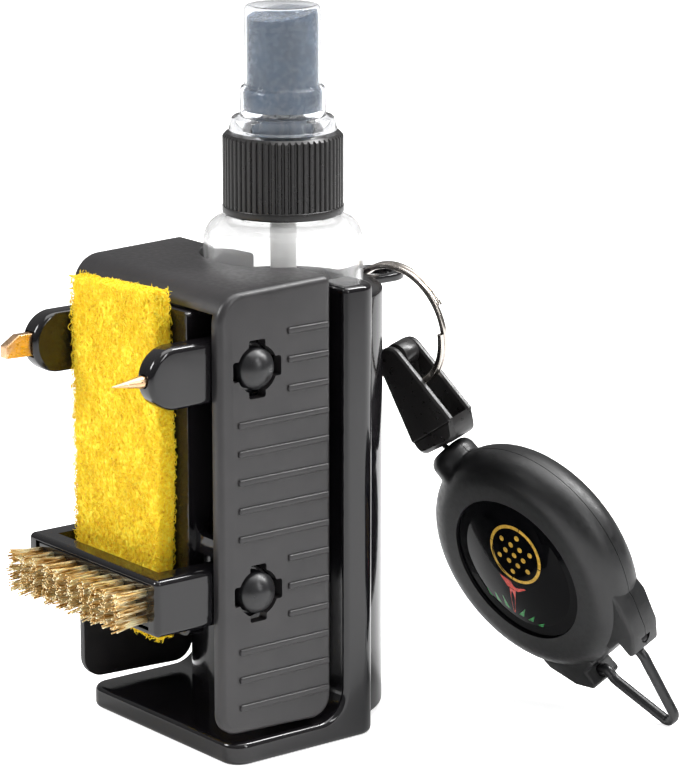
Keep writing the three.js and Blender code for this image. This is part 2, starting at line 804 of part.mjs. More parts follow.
function forkPin() {
  const reach = forkHalfGap + forkPlate - 0.6 - gap;
  const drum = forkHalfGap - gap;
  const pin = 1.2;
  const drumRadius = 2.8;
  return pointFront(turned([
    [0, -reach], [pin, -reach], [pin, -drum], [drumRadius, -drum], [drumRadius, drum], [pin, drum],
    [pin, reach], [0, reach],
  ], 16)).translate(0, 0, pinHeight);
}

forkGroup.add(named('strap_fork', strapFork(), glossBlack));
forkGroup.add(named('fork_pin', forkPin(), glossBlack));
model.add(forkGroup);

// ---------------------------------------------------------------- retractable reel

const forkFoot = forkGroup.position.clone().add(along(forkGroup.quaternion, forkReach));
const reelLean = THREE.MathUtils.radToDeg(Math.acos((forkFoot.z - bailWire) / (reelDrop + bailDrop)));
const reelGroup = new THREE.Group();
reelGroup.quaternion.copy(chainFrame(reelLean, reelHeading, reelTurn));
reelGroup.position.copy(forkFoot).add(along(reelGroup.quaternion, reelDrop));

const cordRadius = 0.6;
const nozzleMouth = reelDrop - 0.5;
const shellWall = 1.5;
const badgeRadius = 16.2;
const badgeDepth = 0.9;
const axleRadius = 1.6;
const bailHinge = -26.6;

// The whole closed case, before it is parted on its middle plane. Its disc stands in X and Z.
function caseBlank() {
  const edge = 5.6;
  const disc = pointFront(turned([
    [0, -reelHalf], ...arc(reelRadius - edge, -reelHalf + edge, edge, -90, 0, 3),
    ...arc(reelRadius - edge, reelHalf - edge, edge, 0, 90, 3), [0, reelHalf],
  ], 36));
  const neck = turned([
    [0, 18], [5.4, 18], [5, 24], ...arc(2.6, nozzleMouth - 2.4, 2.4, 0, 90, 3), [0, nozzleMouth],
  ], 18);
  const horns = [-1, 1].map((sign) => {
    const outline = [
      [sign * 4, -20], [sign * 4, -24.7], [sign * 8.1, -24.7], [sign * 8.1, -28.4],
      [sign * 9.8, -28.6], [sign * 13.6, -25.6], [sign * 17.2, -19.4], [sign * 17.4, -15],
    ];
    if (sign > 0) outline.reverse();
    return alongY(new THREE.Shape(outline.map(([u, v]) => new THREE.Vector2(u, v))), -3.9, 3.9, 0.6);
  });
  return join(disc, neck, ...horns);
}

function caseHollow() {
  const half = reelHalf - shellWall;
  const room = 20.6;
  const chamber = pointFront(rod(room, -half, half, 30));
  const bore = rod(cordRadius + 0.6, 15, nozzleMouth + 2, 16);
  const bailSeat = pointX(rod(bailWire + gap, -12, 12, 12)).translate(0, 0, bailHinge);
  return [chamber, bore, bailSeat];
}

function frontShell() {
  const front = box(-60, 60, -30, -0.1, -60, 60);
  const badgeSeat = pointFront(rod(badgeRadius + gap, reelHalf - badgeDepth, reelHalf + 5, 32));
  const axleSeat = pointFront(rod(axleRadius + gap, 0, reelHalf - 1.4, 16));
  const post = pointFront(rod(3.4, 3.6, reelHalf - 0.7, 16));
  return cut(join(cut(common(caseBlank(), front), ...caseHollow()), post), badgeSeat, axleSeat);
}

function rearShell() {
  const rear = box(-60, 60, 0.1, 30, -60, 60);
  const axleSeat = pointFront(rod(axleRadius + gap, -reelHalf + 0.9, 0, 16));
  return cut(common(caseBlank(), rear), ...caseHollow(), axleSeat);
}

function badge() {
  const dome = 60;
  const rise = dome - Math.sqrt(dome * dome - badgeRadius * badgeRadius);
  const points = [];
  for (let i = 0; i <= 4; i += 1) {
    const r = badgeRadius * (1 - i / 4);
    points.push([r, reelHalf - 0.1 + Math.sqrt(dome * dome - r * r) - dome + rise * 0.5]);
  }
  const back = reelHalf - badgeDepth + gap;
  return pointFront(turned([[0, back], [badgeRadius, back], ...points], 36));
}

const spoolFront = -2.9;
const spoolRear = 1.9;
const spoolFlange = 18.6;
const spoolHub = 12;
const flangeThickness = 0.8;

function spool() {
  const profile = [
    [2.1, -spoolRear], [spoolFlange, -spoolRear], [spoolFlange, -spoolRear + flangeThickness],
    [spoolHub, -spoolRear + flangeThickness], [spoolHub, -spoolFront - flangeThickness],
    [spoolFlange, -spoolFront - flangeThickness], [spoolFlange, -spoolFront], [2.1, -spoolFront],
  ];
  return pointFront(turnedLoop(profile, 24));
}

function cordWinding() {
  const r0 = spoolHub + gap;
  const y0 = -spoolRear + flangeThickness + gap;
  const y1 = -spoolFront - flangeThickness - gap;
  return pointFront(turnedLoop([[r0, y0], [spoolRadius, y0], [spoolRadius, y1], [r0, y1]], 20));
}

function mainSpring() {
  const turns = 3;
  class Spiral extends THREE.Curve {
    getPoint(t, target = new THREE.Vector3()) {
      const angle = 2 * Math.PI * turns * t;
      const radius = 4 + 13 * t;
      return target.set(radius * Math.cos(angle), radius * Math.sin(angle), 0);
    }
  }
  const strip = new THREE.Shape([[-1.1, -0.15], [1.1, -0.15], [1.1, 0.15], [-1.1, 0.15]]
    .map(([u, v]) => new THREE.Vector2(u, v)));
  return sweep(strip, new Spiral(), 48).rotateX(Math.PI / 2).translate(0, 3.5, 0);
}

function axle() {
  const from = -reelHalf + 0.9 + gap;
  const to = reelHalf - 1.4 - gap;
  return pointFront(rod(axleRadius, from, to, 16));
}

function bailCorners() {
  const half = 6.4;
  const end = 11;
  const tip = -bailDrop;
  return [
    [end, bailHinge], [half, bailHinge], [half + 0.4, bailHinge - 3], [1.6, tip + 1],
    [-1.6, tip + 1], [-half - 0.4, bailHinge - 3], [-half, bailHinge], [-end, bailHinge],
  ];
}

function bailGeometry() {
  const corners = bailCorners().map(([x, z]) => new THREE.Vector3(x, 0, z));
  const path = new THREE.CurvePath();
  const bend = 0.3;
  let from = corners[0];
  for (let i = 1; i < corners.length - 1; i += 1) {
    const enter = corners[i].clone().lerp(corners[i - 1], bend);
    const leave = corners[i].clone().lerp(corners[i + 1], bend);
    path.add(new THREE.LineCurve3(from, enter));
    path.add(new THREE.QuadraticBezierCurve3(enter, corners[i], leave));
    from = leave;
  }
  path.add(new THREE.LineCurve3(from, corners[corners.length - 1]));
  return sweep(circle(0, 0, bailWire, 6), path, 44);
}

reelGroup.add(named('reel_front_shell', frontShell(), matteBlack));
reelGroup.add(named('reel_rear_shell', rearShell(), matteBlack));
reelGroup.add(named('reel_badge', badge(), badgeBlack));
reelGroup.add(named('cord_spool', spool(), white));
reelGroup.add(named('cord_winding', cordWinding(), cordBlack));
reelGroup.add(named('main_spring', mainSpring(), springSteel));
reelGroup.add(named('reel_axle', axle(), springSteel));
reelGroup.add(named('wire_bail', bailGeometry(), matteBlack));

// The cord runs from its stop inside the fork straight down the axis of the reel's neck.
const cordTop = reelDrop + 4.6;
reelGroup.add(named('pull_cord', rod(cordRadius, spoolRadius + 4.9, cordTop - 0.2, 10), cordBlack));
model.add(reelGroup);

model.position.y = -(baseFront + baseRear) / 2;

export default model;
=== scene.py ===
"""Looks of the club groove brush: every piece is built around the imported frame, in its own drawing units.

Shapes are drawn in millimetres with y = 0 at the front edge of the cover, and moved into the frame,
which is in metres, by HOME. The ring and the reel are drawn in frames of their own that come from
the joints.
"""

import json
import math
import random

import bmesh
import bpy
from mathutils import Matrix, Vector


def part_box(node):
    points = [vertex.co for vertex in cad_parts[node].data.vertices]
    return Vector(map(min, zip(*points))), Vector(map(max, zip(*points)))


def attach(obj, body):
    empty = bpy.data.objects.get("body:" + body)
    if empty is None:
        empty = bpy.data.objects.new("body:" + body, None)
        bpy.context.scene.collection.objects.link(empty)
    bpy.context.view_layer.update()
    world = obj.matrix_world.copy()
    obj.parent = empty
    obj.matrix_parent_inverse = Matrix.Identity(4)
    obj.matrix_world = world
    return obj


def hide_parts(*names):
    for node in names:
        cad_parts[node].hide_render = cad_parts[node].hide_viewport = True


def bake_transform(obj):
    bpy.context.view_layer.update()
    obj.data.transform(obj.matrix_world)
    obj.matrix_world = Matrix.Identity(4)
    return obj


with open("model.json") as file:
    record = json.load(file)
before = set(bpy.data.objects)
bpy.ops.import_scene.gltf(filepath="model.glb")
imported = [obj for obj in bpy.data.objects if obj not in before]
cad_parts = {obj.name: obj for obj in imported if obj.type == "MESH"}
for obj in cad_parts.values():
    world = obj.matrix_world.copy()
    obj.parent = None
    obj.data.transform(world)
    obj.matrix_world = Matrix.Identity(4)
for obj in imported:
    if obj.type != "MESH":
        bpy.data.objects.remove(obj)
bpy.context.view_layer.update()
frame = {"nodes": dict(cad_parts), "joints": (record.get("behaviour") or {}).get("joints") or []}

MM = 0.001
GAP = 0.3
WALL = 2.4
JOINTS = {joint["name"]: joint for joint in frame["joints"]}
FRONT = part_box("cover")[0].y
HOME = Matrix.Translation((0, FRONT, 0)) @ Matrix.Scale(MM, 4)


def millimetres(node):
    """Lowest and highest corner of a CAD node in drawing units."""
    low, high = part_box(node)
    start = Vector((0, FRONT, 0))
    return (low - start) / MM, (high - start) / MM


# ---------------------------------------------------------------- mesh helpers


def linked(name, data):
    obj = bpy.data.objects.new(name, data)
    bpy.context.scene.collection.objects.link(obj)
    return obj


def new_object(name, verts, faces):
    mesh = bpy.data.meshes.new(name)
    mesh.from_pydata([tuple(v) for v in verts], [], faces)
    obj = linked(name, mesh)
    outwards(obj)
    return obj


def outwards(obj):
    bm = bmesh.new()
    bm.from_mesh(obj.data)
    bmesh.ops.recalc_face_normals(bm, faces=bm.faces)
    bm.to_mesh(obj.data)
    bm.free()


def bake(obj):
    """Applies the modifiers of an object to its mesh."""
    graph = bpy.context.evaluated_depsgraph_get()
    mesh = bpy.data.meshes.new_from_object(obj.evaluated_get(graph))
    old = obj.data
    obj.modifiers.clear()
    obj.data = mesh
    bpy.data.meshes.remove(old)
    return obj


def combine(obj, operation, *others):
    for other in others:
        modifier = obj.modifiers.new("combine", "BOOLEAN")
        modifier.operation = operation
        modifier.solver = "EXACT"
        modifier.object = other
        bake(obj)
        bpy.data.objects.remove(other)
    return obj


def cut(obj, *tools):
    return combine(obj, "DIFFERENCE", *tools)


def join(obj, *others):
    return combine(obj, "UNION", *others)


def soften(obj, width, segments=3, angle=35):
    """Rounds every edge that is sharper than the angle."""
    modifier = obj.modifiers.new("soften", "BEVEL")
    modifier.width = width
    modifier.segments = segments
    modifier.limit_method = "ANGLE"
    modifier.angle_limit = math.radians(angle)
    modifier.use_clamp_overlap = True
    return bake(obj)


def rounded(corners, steps=6, closed=True):
    """Points through corners (u, v, radius); a corner with a radius is rounded by an arc."""
    points = []
    count = len(corners)
    for i, corner in enumerate(corners):
        here = Vector(corner[:2])
        radius = corner[2] if len(corner) > 2 else 0
        if radius == 0 or (not closed and i in (0, count - 1)):
            points.append(here)
            continue
        back = (Vector(corners[i - 1][:2]) - here).normalized()
        ahead = (Vector(corners[(i + 1) % count][:2]) - here).normalized()
        half = math.acos(max(-1, min(1, back.dot(ahead)))) / 2
        centre = here + (back + ahead).normalized() * (radius / math.sin(half))
        start = here + back * (radius / math.tan(half)) - centre
        end = here + ahead * (radius / math.tan(half)) - centre
        turn = math.atan2(start.x * end.y - start.y * end.x, start.dot(end))
        for k in range(steps + 1):
            angle = turn * k / steps
            cos, sin = math.cos(angle), math.sin(angle)
            points.append(centre + Vector((start.x * cos - start.y * sin, start.x * sin + start.y * cos)))
    return points


def circle(u, v, radius, segments=64):
    angles = [2 * math.pi * i / segments for i in range(segments)]
    return [Vector((u + radius * math.cos(a), v + radius * math.sin(a))) for a in angles]


def tube_faces(count, rows, start=0):
    """A cap at each end and quads between successive rows of count vertices."""
    last = start + (rows - 1) * count
    faces = [list(range(start, start + count)), list(range(last + count - 1, last - 1, -1))]
    for row in range(start, last, count):
        for k in range(count):
            j = (k + 1) % count
            faces.append([row + k, row + j, row + count + j, row + count + k])
    return faces


def prism(name, outline, low, high, axis):
    """Extrudes a closed outline along X (drawn in y, z), Y (drawn in x, z) or Z (drawn in x, y)."""
    order = {"X": lambda u, v, w: (w, u, v), "Y": lambda u, v, w: (u, w, v), "Z": lambda u, v, w: (u, v, w)}
    verts = [order[axis](p[0], p[1], level) for level in (low, high) for p in outline]
    return new_object(name, verts, tube_faces(len(outline), 2))


def block(name, x0, x1, y0, y1, z0, z1):
    return prism(name, [(x0, y0), (x1, y0), (x1, y1), (x0, y1)], z0, z1, "Z")


def lathe(name, profile, segments=96, loop=False):
    """Turns a profile of (radius, height) about Z. It starts and ends on the axis, or loops."""
    verts = []
    rings = []
    for radius, height in profile:
        start = len(verts)
        count = 1 if radius < 1e-6 else segments
        for i in range(count):
            angle = 2 * math.pi * i / segments
            verts.append((radius * math.cos(angle), radius * math.sin(angle), height))
        rings.append([start + i % count for i in range(segments)])
    faces = []
    pairs = list(zip(rings, rings[1:]))
    if loop:
        pairs.append((rings[-1], rings[0]))
    for low, high in pairs:
        for i in range(segments):
            j = (i + 1) % segments
            face = []
            for vertex in (low[i], low[j], high[j], high[i]):
                if vertex not in face:
                    face.append(vertex)
            if len(face) > 2:
                faces.append(face)
    return new_object(name, verts, faces)


def turned(name, corners, steps, segments):
    """A lathe shape whose open profile is given by corners, some with a radius."""
    return lathe(name, rounded(corners, steps, closed=False), segments)


def loft(name, rings):
    """Closes a solid through rings of equally many points."""
    verts = [point for ring in rings for point in ring]
    return new_object(name, verts, tube_faces(len(rings[0]), len(rings)))


def edge_steps(low, high, radius, steps=6):
    """Heights from low to high with the inset that rounds both ends by the radius."""
    angles = [math.pi / 2 * k / steps for k in range(steps + 1)]
    foot = [(low + radius * (1 - math.sin(a)), radius * (1 - math.cos(a))) for a in reversed(angles)]
    head = [(high - radius * (1 - math.sin(a)), radius * (1 - math.cos(a))) for a in angles]
    return foot + head


def slab(name, half, front, rear, front_corner, rear_corner, low, high, edge):
    """An upright slab with rounded corners in plan and every other edge rounded as well."""
    rings = []
    for z, inset in edge_steps(low, high, edge):
        side = half - inset
        ahead, behind = (front + inset, front_corner - inset), (rear - inset, rear_corner - inset)
        outline = rounded([(-side, *ahead), (side, *ahead), (side, *behind), (-side, *behind)], 12)
        rings.append([(p.x, p.y, z) for p in outline])
    return loft(name, rings)


def rod(name, radius, low, high, segments=48):
    return lathe(name, [(0, low), (radius, low), (radius, high), (0, high)], segments)


def turn(obj, matrix):
    obj.data.transform(matrix)
    return obj


def to_front(obj):
    """Local +Z becomes -Y."""
    return turn(obj, Matrix.Rotation(math.pi / 2, 4, "X"))


def to_side(obj, sign=1):
    """Local +Z becomes +X or -X."""
    return turn(obj, Matrix.Rotation(sign * math.pi / 2, 4, "Y"))


def shift(obj, x=0, y=0, z=0):
    return turn(obj, Matrix.Translation((x, y, z)))


def path_frames(points):
    """Direction and two steady side vectors at each point of a path."""
    ahead = [(b - a).normalized() for a, b in zip(points, points[1:])]
    tangents = [ahead[0]] + [(a + b).normalized() for a, b in zip(ahead, ahead[1:])] + [ahead[-1]]
    side = tangents[0].orthogonal().normalized()
    frames = []
    for tangent in tangents:
        side = (side - tangent * side.dot(tangent)).normalized()
        frames.append((tangent, side, tangent.cross(side)))
    return frames


def sweep(name, points, section, sides=None):
    """Sweeps a closed section (list of (u, v)) along a path; sides gives fixed u directions."""
    verts = []
    for i, (tangent, side, up) in enumerate(path_frames(points)):
        if sides is not None:
            side = (sides[i] - tangent * sides[i].dot(tangent)).normalized()
            up = tangent.cross(side)
        verts += [points[i] + side * u + up * v for u, v in section]
    return new_object(name, verts, tube_faces(len(section), len(points)))


def tubes(name, paths, radii, sides):
    """Many thin closed tubes in one mesh. Each radius holds one value per path point."""
    verts = []
    faces = []
    for points, radius in zip(paths, radii):
        base = len(verts)
        for (_, side, up), point, r in zip(path_frames(points), points, radius):
            for k in range(sides):
                angle = 2 * math.pi * k / sides
                verts.append(point + side * (r * math.cos(angle)) + up * (r * math.sin(angle)))
        faces += tube_faces(sides, len(points), base)
    return new_object(name, verts, faces)


def refined(node, width, segments=3, angle=35):
    """A copy of a CAD node in drawing units, with its flat faces merged and its edges rounded."""
    obj = linked(node + "_fine", frame["nodes"][node].data.copy())
    obj.data.transform(HOME.inverted())
    bm = bmesh.new()
    bm.from_mesh(obj.data)
    bmesh.ops.remove_doubles(bm, verts=bm.verts, dist=1e-4)
    bmesh.ops.dissolve_limit(bm, angle_limit=math.radians(1), verts=bm.verts, edges=bm.edges)
    bm.to_mesh(obj.data)
    bm.free()
    return soften(obj, width, segments, angle)


def dress(obj, skin, place):
    """Moves a drawn shape into the frame, smooths it and gives it a material."""
    obj.data.transform(place)
    for polygon in obj.data.polygons:
        polygon.use_smooth = True
    obj.data.materials.clear()
    obj.data.materials.append(skin)


def finish(obj, body, skin, *nodes, place=HOME, sharp=38):
    """Dresses a shape and hangs it on its body, where it takes the place of CAD nodes if any are named."""
    dress(obj, skin, place)
    obj.data.set_sharp_from_angle(angle=math.radians(sharp))
    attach(obj, body)
    if nodes:
        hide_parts(*nodes)
    return obj


# ---------------------------------------------------------------- materials


def put(tree, node, name, value):
    """Gives an input of a node a value, or links another node's output to it."""
    if isinstance(value, bpy.types.NodeSocket):
        tree.links.new(value, node.inputs[name])
    else:
        node.inputs[name].default_value = value


def add_node(tree, kind, inputs, **settings):
    node = tree.nodes.new(kind)
    for name, value in settings.items():
        setattr(node, name, value)
    for name, value in inputs.items():
        put(tree, node, name, value)
    return node


def give(skin, name, value):
    put(skin.node_tree, skin.node_tree.nodes["Principled BSDF"], name, value)


def plain(name, colour, roughness, metallic=0.0):
    skin = bpy.data.materials.new(name)
    skin.use_nodes = True
    give(skin, "Base Color", (*colour, 1))
    give(skin, "Roughness", roughness)
    give(skin, "Metallic", metallic)
    return skin


def coordinates(tree, stretch):
    source = tree.nodes.new("ShaderNodeTexCoord").outputs["Object"]
    return add_node(tree, "ShaderNodeMapping", {"Vector": source, "Scale": stretch}).outputs["Vector"]


def noise(tree, per_metre, detail, stretch=(1, 1, 1)):
    inputs = {"Scale": per_metre, "Detail": detail, "Vector": coordinates(tree, stretch)}
    return add_node(tree, "ShaderNodeTexNoise", inputs).outputs["Fac"]


def spread(tree, value, low, high, start=0.3, end=0.7):
    """Maps a value's start..end onto low..high."""
    inputs = {"Value": value, "From Min": start, "From Max": end, "To Min": low, "To Max": high}
    return add_node(tree, "ShaderNodeMapRange", inputs).outputs["Result"]


def mixed(tree, kind, factor, first, second):
    inputs = {"Factor": factor, "A": first, "B": second}
    return add_node(tree, "ShaderNodeMix", inputs, data_type=kind).outputs["Result"]


def blend_colours(tree, value, stops):
    ramp = add_node(tree, "ShaderNodeValToRGB", {"Fac": value})
    while len(ramp.color_ramp.elements) < len(stops):
        ramp.color_ramp.elements.new(0.5)
    for element, (position, colour) in zip(ramp.color_ramp.elements, stops):
        element.position = position
        element.color = (*colour, 1)
    return ramp.outputs["Color"]


def colours(skin, per_metre, detail, stops, stretch=(1, 1, 1)):
    """Drives the colour by noise."""
    tree = skin.node_tree
    give(skin, "Base Color", blend_colours(tree, noise(tree, per_metre, detail, stretch), stops))


def vary(skin, name, per_metre, detail, low, high, stretch=(1, 1, 1)):
    """Drives an input by noise between two values."""
    tree = skin.node_tree
    give(skin, name, spread(tree, noise(tree, per_metre, detail, stretch), low, high))


def bump(skin, height, depth_mm, strength):
    inputs = {"Strength": strength, "Distance": depth_mm * MM, "Height": height}
    give(skin, "Normal", add_node(skin.node_tree, "ShaderNodeBump", inputs).outputs["Normal"])


def relief(skin, per_metre, detail, depth_mm, strength, stretch=(1, 1, 1)):
    bump(skin, noise(skin.node_tree, per_metre, detail, stretch), depth_mm, strength)


def shade(colour, factor):
    return tuple(min(1, c * factor) for c in colour)


def pebbled_plastic():
    """Matte moulded cover: fine pebble, slightly uneven sheen."""
    skin = plain("pebbled_black_plastic", (0.020, 0.019, 0.020), 0.38)
    colours(skin, 120, 2, [(0.3, (0.017, 0.016, 0.017)), (0.7, (0.024, 0.022, 0.023))])
    vary(skin, "Roughness", 900, 4, 0.33, 0.43)
    relief(skin, 3200, 2, 0.03, 0.35)
    return skin


def gloss_plastic():
    """Polished moulding with a faint sink and a few hairline scuffs."""
    roughness = 0.09
    skin = plain("gloss_black_plastic", (0.008, 0.008, 0.009), roughness)
    colours(skin, 60, 2, [(0.3, (0.004, 0.004, 0.005)), (0.7, (0.008, 0.007, 0.008))])
    vary(skin, "Roughness", 700, 5, roughness * 0.8, roughness * 1.7)
    relief(skin, 70, 1, 0.06, 0.3)
    return skin


def satin_plastic(name, colour, roughness, grain=1800, depth=0.02):
    skin = plain(name, colour, roughness)
    colours(skin, 150, 3, [(0.3, shade(colour, 0.82)), (0.7, shade(colour, 1.12))])
    vary(skin, "Roughness", 800, 4, roughness * 0.85, roughness * 1.2)
    relief(skin, grain, 2, depth, 0.4)
    return skin


def scouring_fibre():
    """Non-woven yellow fibre: lemon where the bump stands high, darker orange painted shade in its low spots,
    brown specks.
    """
    skin = plain("scouring_fibre", (0.9, 0.62, 0.02), 0.75)
    tree = skin.node_tree
    fine = noise(tree, 1500, 4)
    # One noise drives both colour and bump: yellow tone of the fibre, with painted shade that turns the low
    # spots darker orange.
    fibre_tone_with_painted_depth_shade = blend_colours(tree, fine, [
        (0.28, (0.72, 0.38, 0.002)), (0.40, (0.93, 0.62, 0.004)), (0.54, (0.98, 0.74, 0.010)),
        (0.72, (0.98, 0.86, 0.09)),
    ])
    specks = spread(tree, noise(tree, 2600, 2), 0, 1, 0.71, 0.76)
    give(skin, "Base Color", mixed(tree, "RGBA", specks, fibre_tone_with_painted_depth_shade, (0.20, 0.08, 0.004, 1)))
    give(skin, "Sheen Weight", 0.3)
    give(skin, "Sheen Tint", (1, 0.9, 0.4, 1))
    give(skin, "Subsurface Weight", 0.15)
    give(skin, "Subsurface Radius", (0.002, 0.0012, 0.0003))
    bump(skin, fine, 0.3, 0.6)
    return skin


def metal(name, colour, roughness, stretch=(1, 1, 1), scratch=1500, depth=0.01):
    skin = plain(name, colour, roughness, 1.0)
    colours(skin, 400, 4, [(0.32, shade(colour, 0.78)), (0.6, colour)], stretch)
    vary(skin, "Roughness", scratch, 5, roughness * 0.7, roughness * 1.4, stretch)
    relief(skin, scratch, 3, depth, 0.5, stretch)
    return skin


def wire_brass():
    """Brass wire: pale gold, with noise streaks of dark brown painted shade and pale cream painted highlight.
    """
    skin = plain("brass_wire", (0.95, 0.78, 0.48), 0.32, 0.8)
    # Dark brown stop: painted shade between the wires. Pale cream stop: painted highlight. Both are scattered
    # by noise along the wires over the gold.
    gold_with_painted_shade_and_highlight = [(0.36, (0.42, 0.22, 0.05)), (0.46, (0.86, 0.62, 0.28)), (0.58, (1.0, 0.93, 0.66))]
    colours(skin, 1100, 3, gold_with_painted_shade_and_highlight, (1, 0.25, 1))
    vary(skin, "Roughness", 2200, 4, 0.26, 0.48)
    relief(skin, 2200, 3, 0.01, 0.5, (1, 0.3, 1))
    return skin


def clear_plastic(name, tint, roughness, haze, ior=1.3, ripple=0.25):
    """Thin clear moulding. Haze adds the faint white bloom that blown plastic has."""
    skin = plain(name, tint, roughness)
    give(skin, "IOR", ior)
    vary(skin, "Transmission Weight", 220, 3, 1 - haze * 1.3, 1 - haze * 0.7)
    vary(skin, "Roughness", 300, 3, roughness, roughness + 0.04)
    relief(skin, 45, 1, 0.02, ripple)
    return skin


def milky_plastic():
    skin = plain("milky_white_plastic", (0.86, 0.86, 0.84), 0.35)
    give(skin, "Subsurface Weight", 0.4)
    give(skin, "Subsurface Radius", (0.002, 0.002, 0.002))
    vary(skin, "Roughness", 500, 3, 0.28, 0.42)
    relief(skin, 900, 2, 0.02, 0.3)
    return skin


def braided_cord():
    skin = plain("braided_cord", (0.015, 0.015, 0.016), 0.7)
    tree = skin.node_tree
    inputs = {"Scale": 900, "Distortion": 2, "Vector": coordinates(tree, (1, 1, 1.6))}
    wave = add_node(tree, "ShaderNodeTexWave", inputs).outputs["Fac"]
    stops = [(0.2, (0.006, 0.006, 0.006)), (0.8, (0.03, 0.03, 0.032))]
    give(skin, "Base Color", blend_colours(tree, wave, stops))
    bump(skin, wave, 0.12, 0.8)
    return skin


def label_lacquer():
    """Thick clear lacquer dome over a black print."""
    skin = plain("label_lacquer", (0.002, 0.002, 0.0025), 0.05)
    give(skin, "Specular IOR Level", 0.08)
    vary(skin, "Roughness", 400, 3, 0.03, 0.08)
    relief(skin, 50, 1, 0.04, 0.2)
    return skin


def print_ink(name, colour):
    skin = plain(name, colour, 0.25)
    pale = tuple(min(1, c * 1.25 + 0.01) for c in colour)
    colours(skin, 1400, 3, [(0.35, shade(colour, 0.8)), (0.65, pale)])
    return skin


PEBBLE = pebbled_plastic()
GLOSS = gloss_plastic()
FORK_PLASTIC = satin_plastic("fork_black_plastic", (0.014, 0.013, 0.013), 0.30, 1500, 0.02)
DOME = satin_plastic("pivot_black_plastic", (0.010, 0.010, 0.011), 0.32, 2400, 0.015)
COLLAR_PLASTIC = satin_plastic("collar_black_plastic", (0.010, 0.009, 0.009), 0.30, 2200, 0.012)
REEL_PLASTIC = satin_plastic("reel_black_plastic", (0.004, 0.004, 0.0045), 0.40, 2600, 0.03)
BLUE_GREY = satin_plastic("blue_grey_plastic", (0.040, 0.062, 0.092), 0.26, 90, 0.004)
MILKY = milky_plastic()
FIBRE = scouring_fibre()
BRASS = metal("turned_brass", (0.80, 0.52, 0.30), 0.30, (1, 1, 3), 900, 0.004)
WIRE_BRASS = wire_brass()
NICKEL = metal("nickel_plate", (0.66, 0.61, 0.56), 0.13, (1, 1, 1), 900, 0.006)
STEEL = metal("spring_steel", (0.50, 0.51, 0.53), 0.28, (1, 1, 4))
BOTTLE_CLEAR = clear_plastic("clear_bottle_plastic", (1.0, 1.0, 1.0), 0.03, 0.10)
CAP_CLEAR = clear_plastic("clear_cap_plastic", (0.97, 0.98, 1.0), 0.03, 0.02, 1.22, 0.04)
RUBBER = satin_plastic("gasket_rubber", (0.02, 0.02, 0.02), 0.8)
CORD = braided_cord()
WIRE_PAINT = satin_plastic("painted_black_wire", (0.010, 0.010, 0.011), 0.30, 1500, 0.03)
LACQUER = label_lacquer()
INK_GOLD = print_ink("label_ink_gold", (0.60, 0.36, 0.05))
INK_GREEN = print_ink("label_ink_green", (0.01, 0.22, 0.04))
INK_RED = print_ink("label_ink_red", (0.62, 0.06, 0.04))

# ---------------------------------------------------------------- cover

COVER_HALF = 25.0
PIVOT_Y = 9.1
PICK_Z = 79.9
BRUSH_Z = 34.9
RIB_PITCH = 5.72
RIB_TOP = 86.4
RIB_HALF_HEIGHT = 0.65
RIB_RISE = 0.5
RIBS = 14
RIB_REAR = 26.4
LONG_RIB_FRONT = 4.4
SHORT_RIB_FRONT = 16.4
PIVOT_HOLE = 4.85
BOTTLE_PLAY = 0.8
COVER_LOW, COVER_HIGH = millimetres("cover")
BOTTLE_LOW, BOTTLE_HIGH = millimetres("spray_bottle")
BOTTLE_Y = (BOTTLE_LOW.y + BOTTLE_HIGH.y) / 2
BOTTLE_RADIUS = (BOTTLE_HIGH.x - BOTTLE_LOW.x) / 2
BOTTLE_FLOOR = BOTTLE_LOW.z
LIP_BOTTOM = 91.4
TOP_FRONT = 95.2


def pivot_opening(z, side):
    """A round hole with four notches, seen on the cheek of the cover."""
    reach, notch = 5.8, 2.0
    low, high = sorted((side * 20, side * 30))
    hole = prism("hole", circle(PIVOT_Y, z, PIVOT_HOLE), low, high, "X")
    for half_y, half_z in ((notch, reach), (reach, notch)):
        outline = rounded([
            (PIVOT_Y - half_y, z - half_z, 0.5), (PIVOT_Y + half_y, z - half_z, 0.5),
            (PIVOT_Y + half_y, z + half_z, 0.5), (PIVOT_Y - half_y, z + half_z, 0.5),
        ], 3)
        join(hole, prism("notch", outline, low, high, "X"))
    return hole


def rib(z, front, side):
    """A low bar with rounded edges that stands on the cheek and sinks into it at the back."""
    low, high = sorted((side * (COVER_HALF - 1), side * (COVER_HALF + RIB_RISE)))
    bar = block("rib", low, high, front, RIB_REAR, z - RIB_HALF_HEIGHT, z + RIB_HALF_HEIGHT)
    return soften(bar, 0.34, 4)


def build_cover():
    outline = rounded([
        (0, 6.8, 4.5), (COVER_HIGH.y, COVER_LOW.z, 4.5), (COVER_HIGH.y, COVER_HIGH.z, 1.5),
        (0, TOP_FRONT, 6),
    ], 14)
    shell = soften(prism("cover_fine", outline, -COVER_HALF, COVER_HALF, "X"), 1.3, 6)
    beyond = 40
    hollow = prism("hollow", rounded([
        (-beyond, -beyond), (beyond, -beyond), (beyond, COVER_HIGH.z - WALL),
        (WALL, TOP_FRONT - WALL, 1.2), (WALL, LIP_BOTTOM), (-beyond, LIP_BOTTOM),
    ]), -COVER_HALF + WALL, COVER_HALF - WALL, "X")
    notch = shift(rod("bottle_notch", BOTTLE_RADIUS + BOTTLE_PLAY, 80, 110, 128), y=BOTTLE_Y)
    cut(shell, hollow, notch)
    soften(shell, 0.3, 3, 50)
    for i in range(RIBS):
        beside_pivot = i < 3 or 7 < i < 11
        front = SHORT_RIB_FRONT if beside_pivot else LONG_RIB_FRONT
        for side in (-1, 1):
            join(shell, rib(RIB_TOP - i * RIB_PITCH, front, side))
    for z in (PICK_Z, BRUSH_Z):
        for side in (-1, 1):
            cut(shell, pivot_opening(z, side))
    return finish(shell, "holder", PEBBLE, "cover", sharp=50)


build_cover()

# ---------------------------------------------------------------- holder

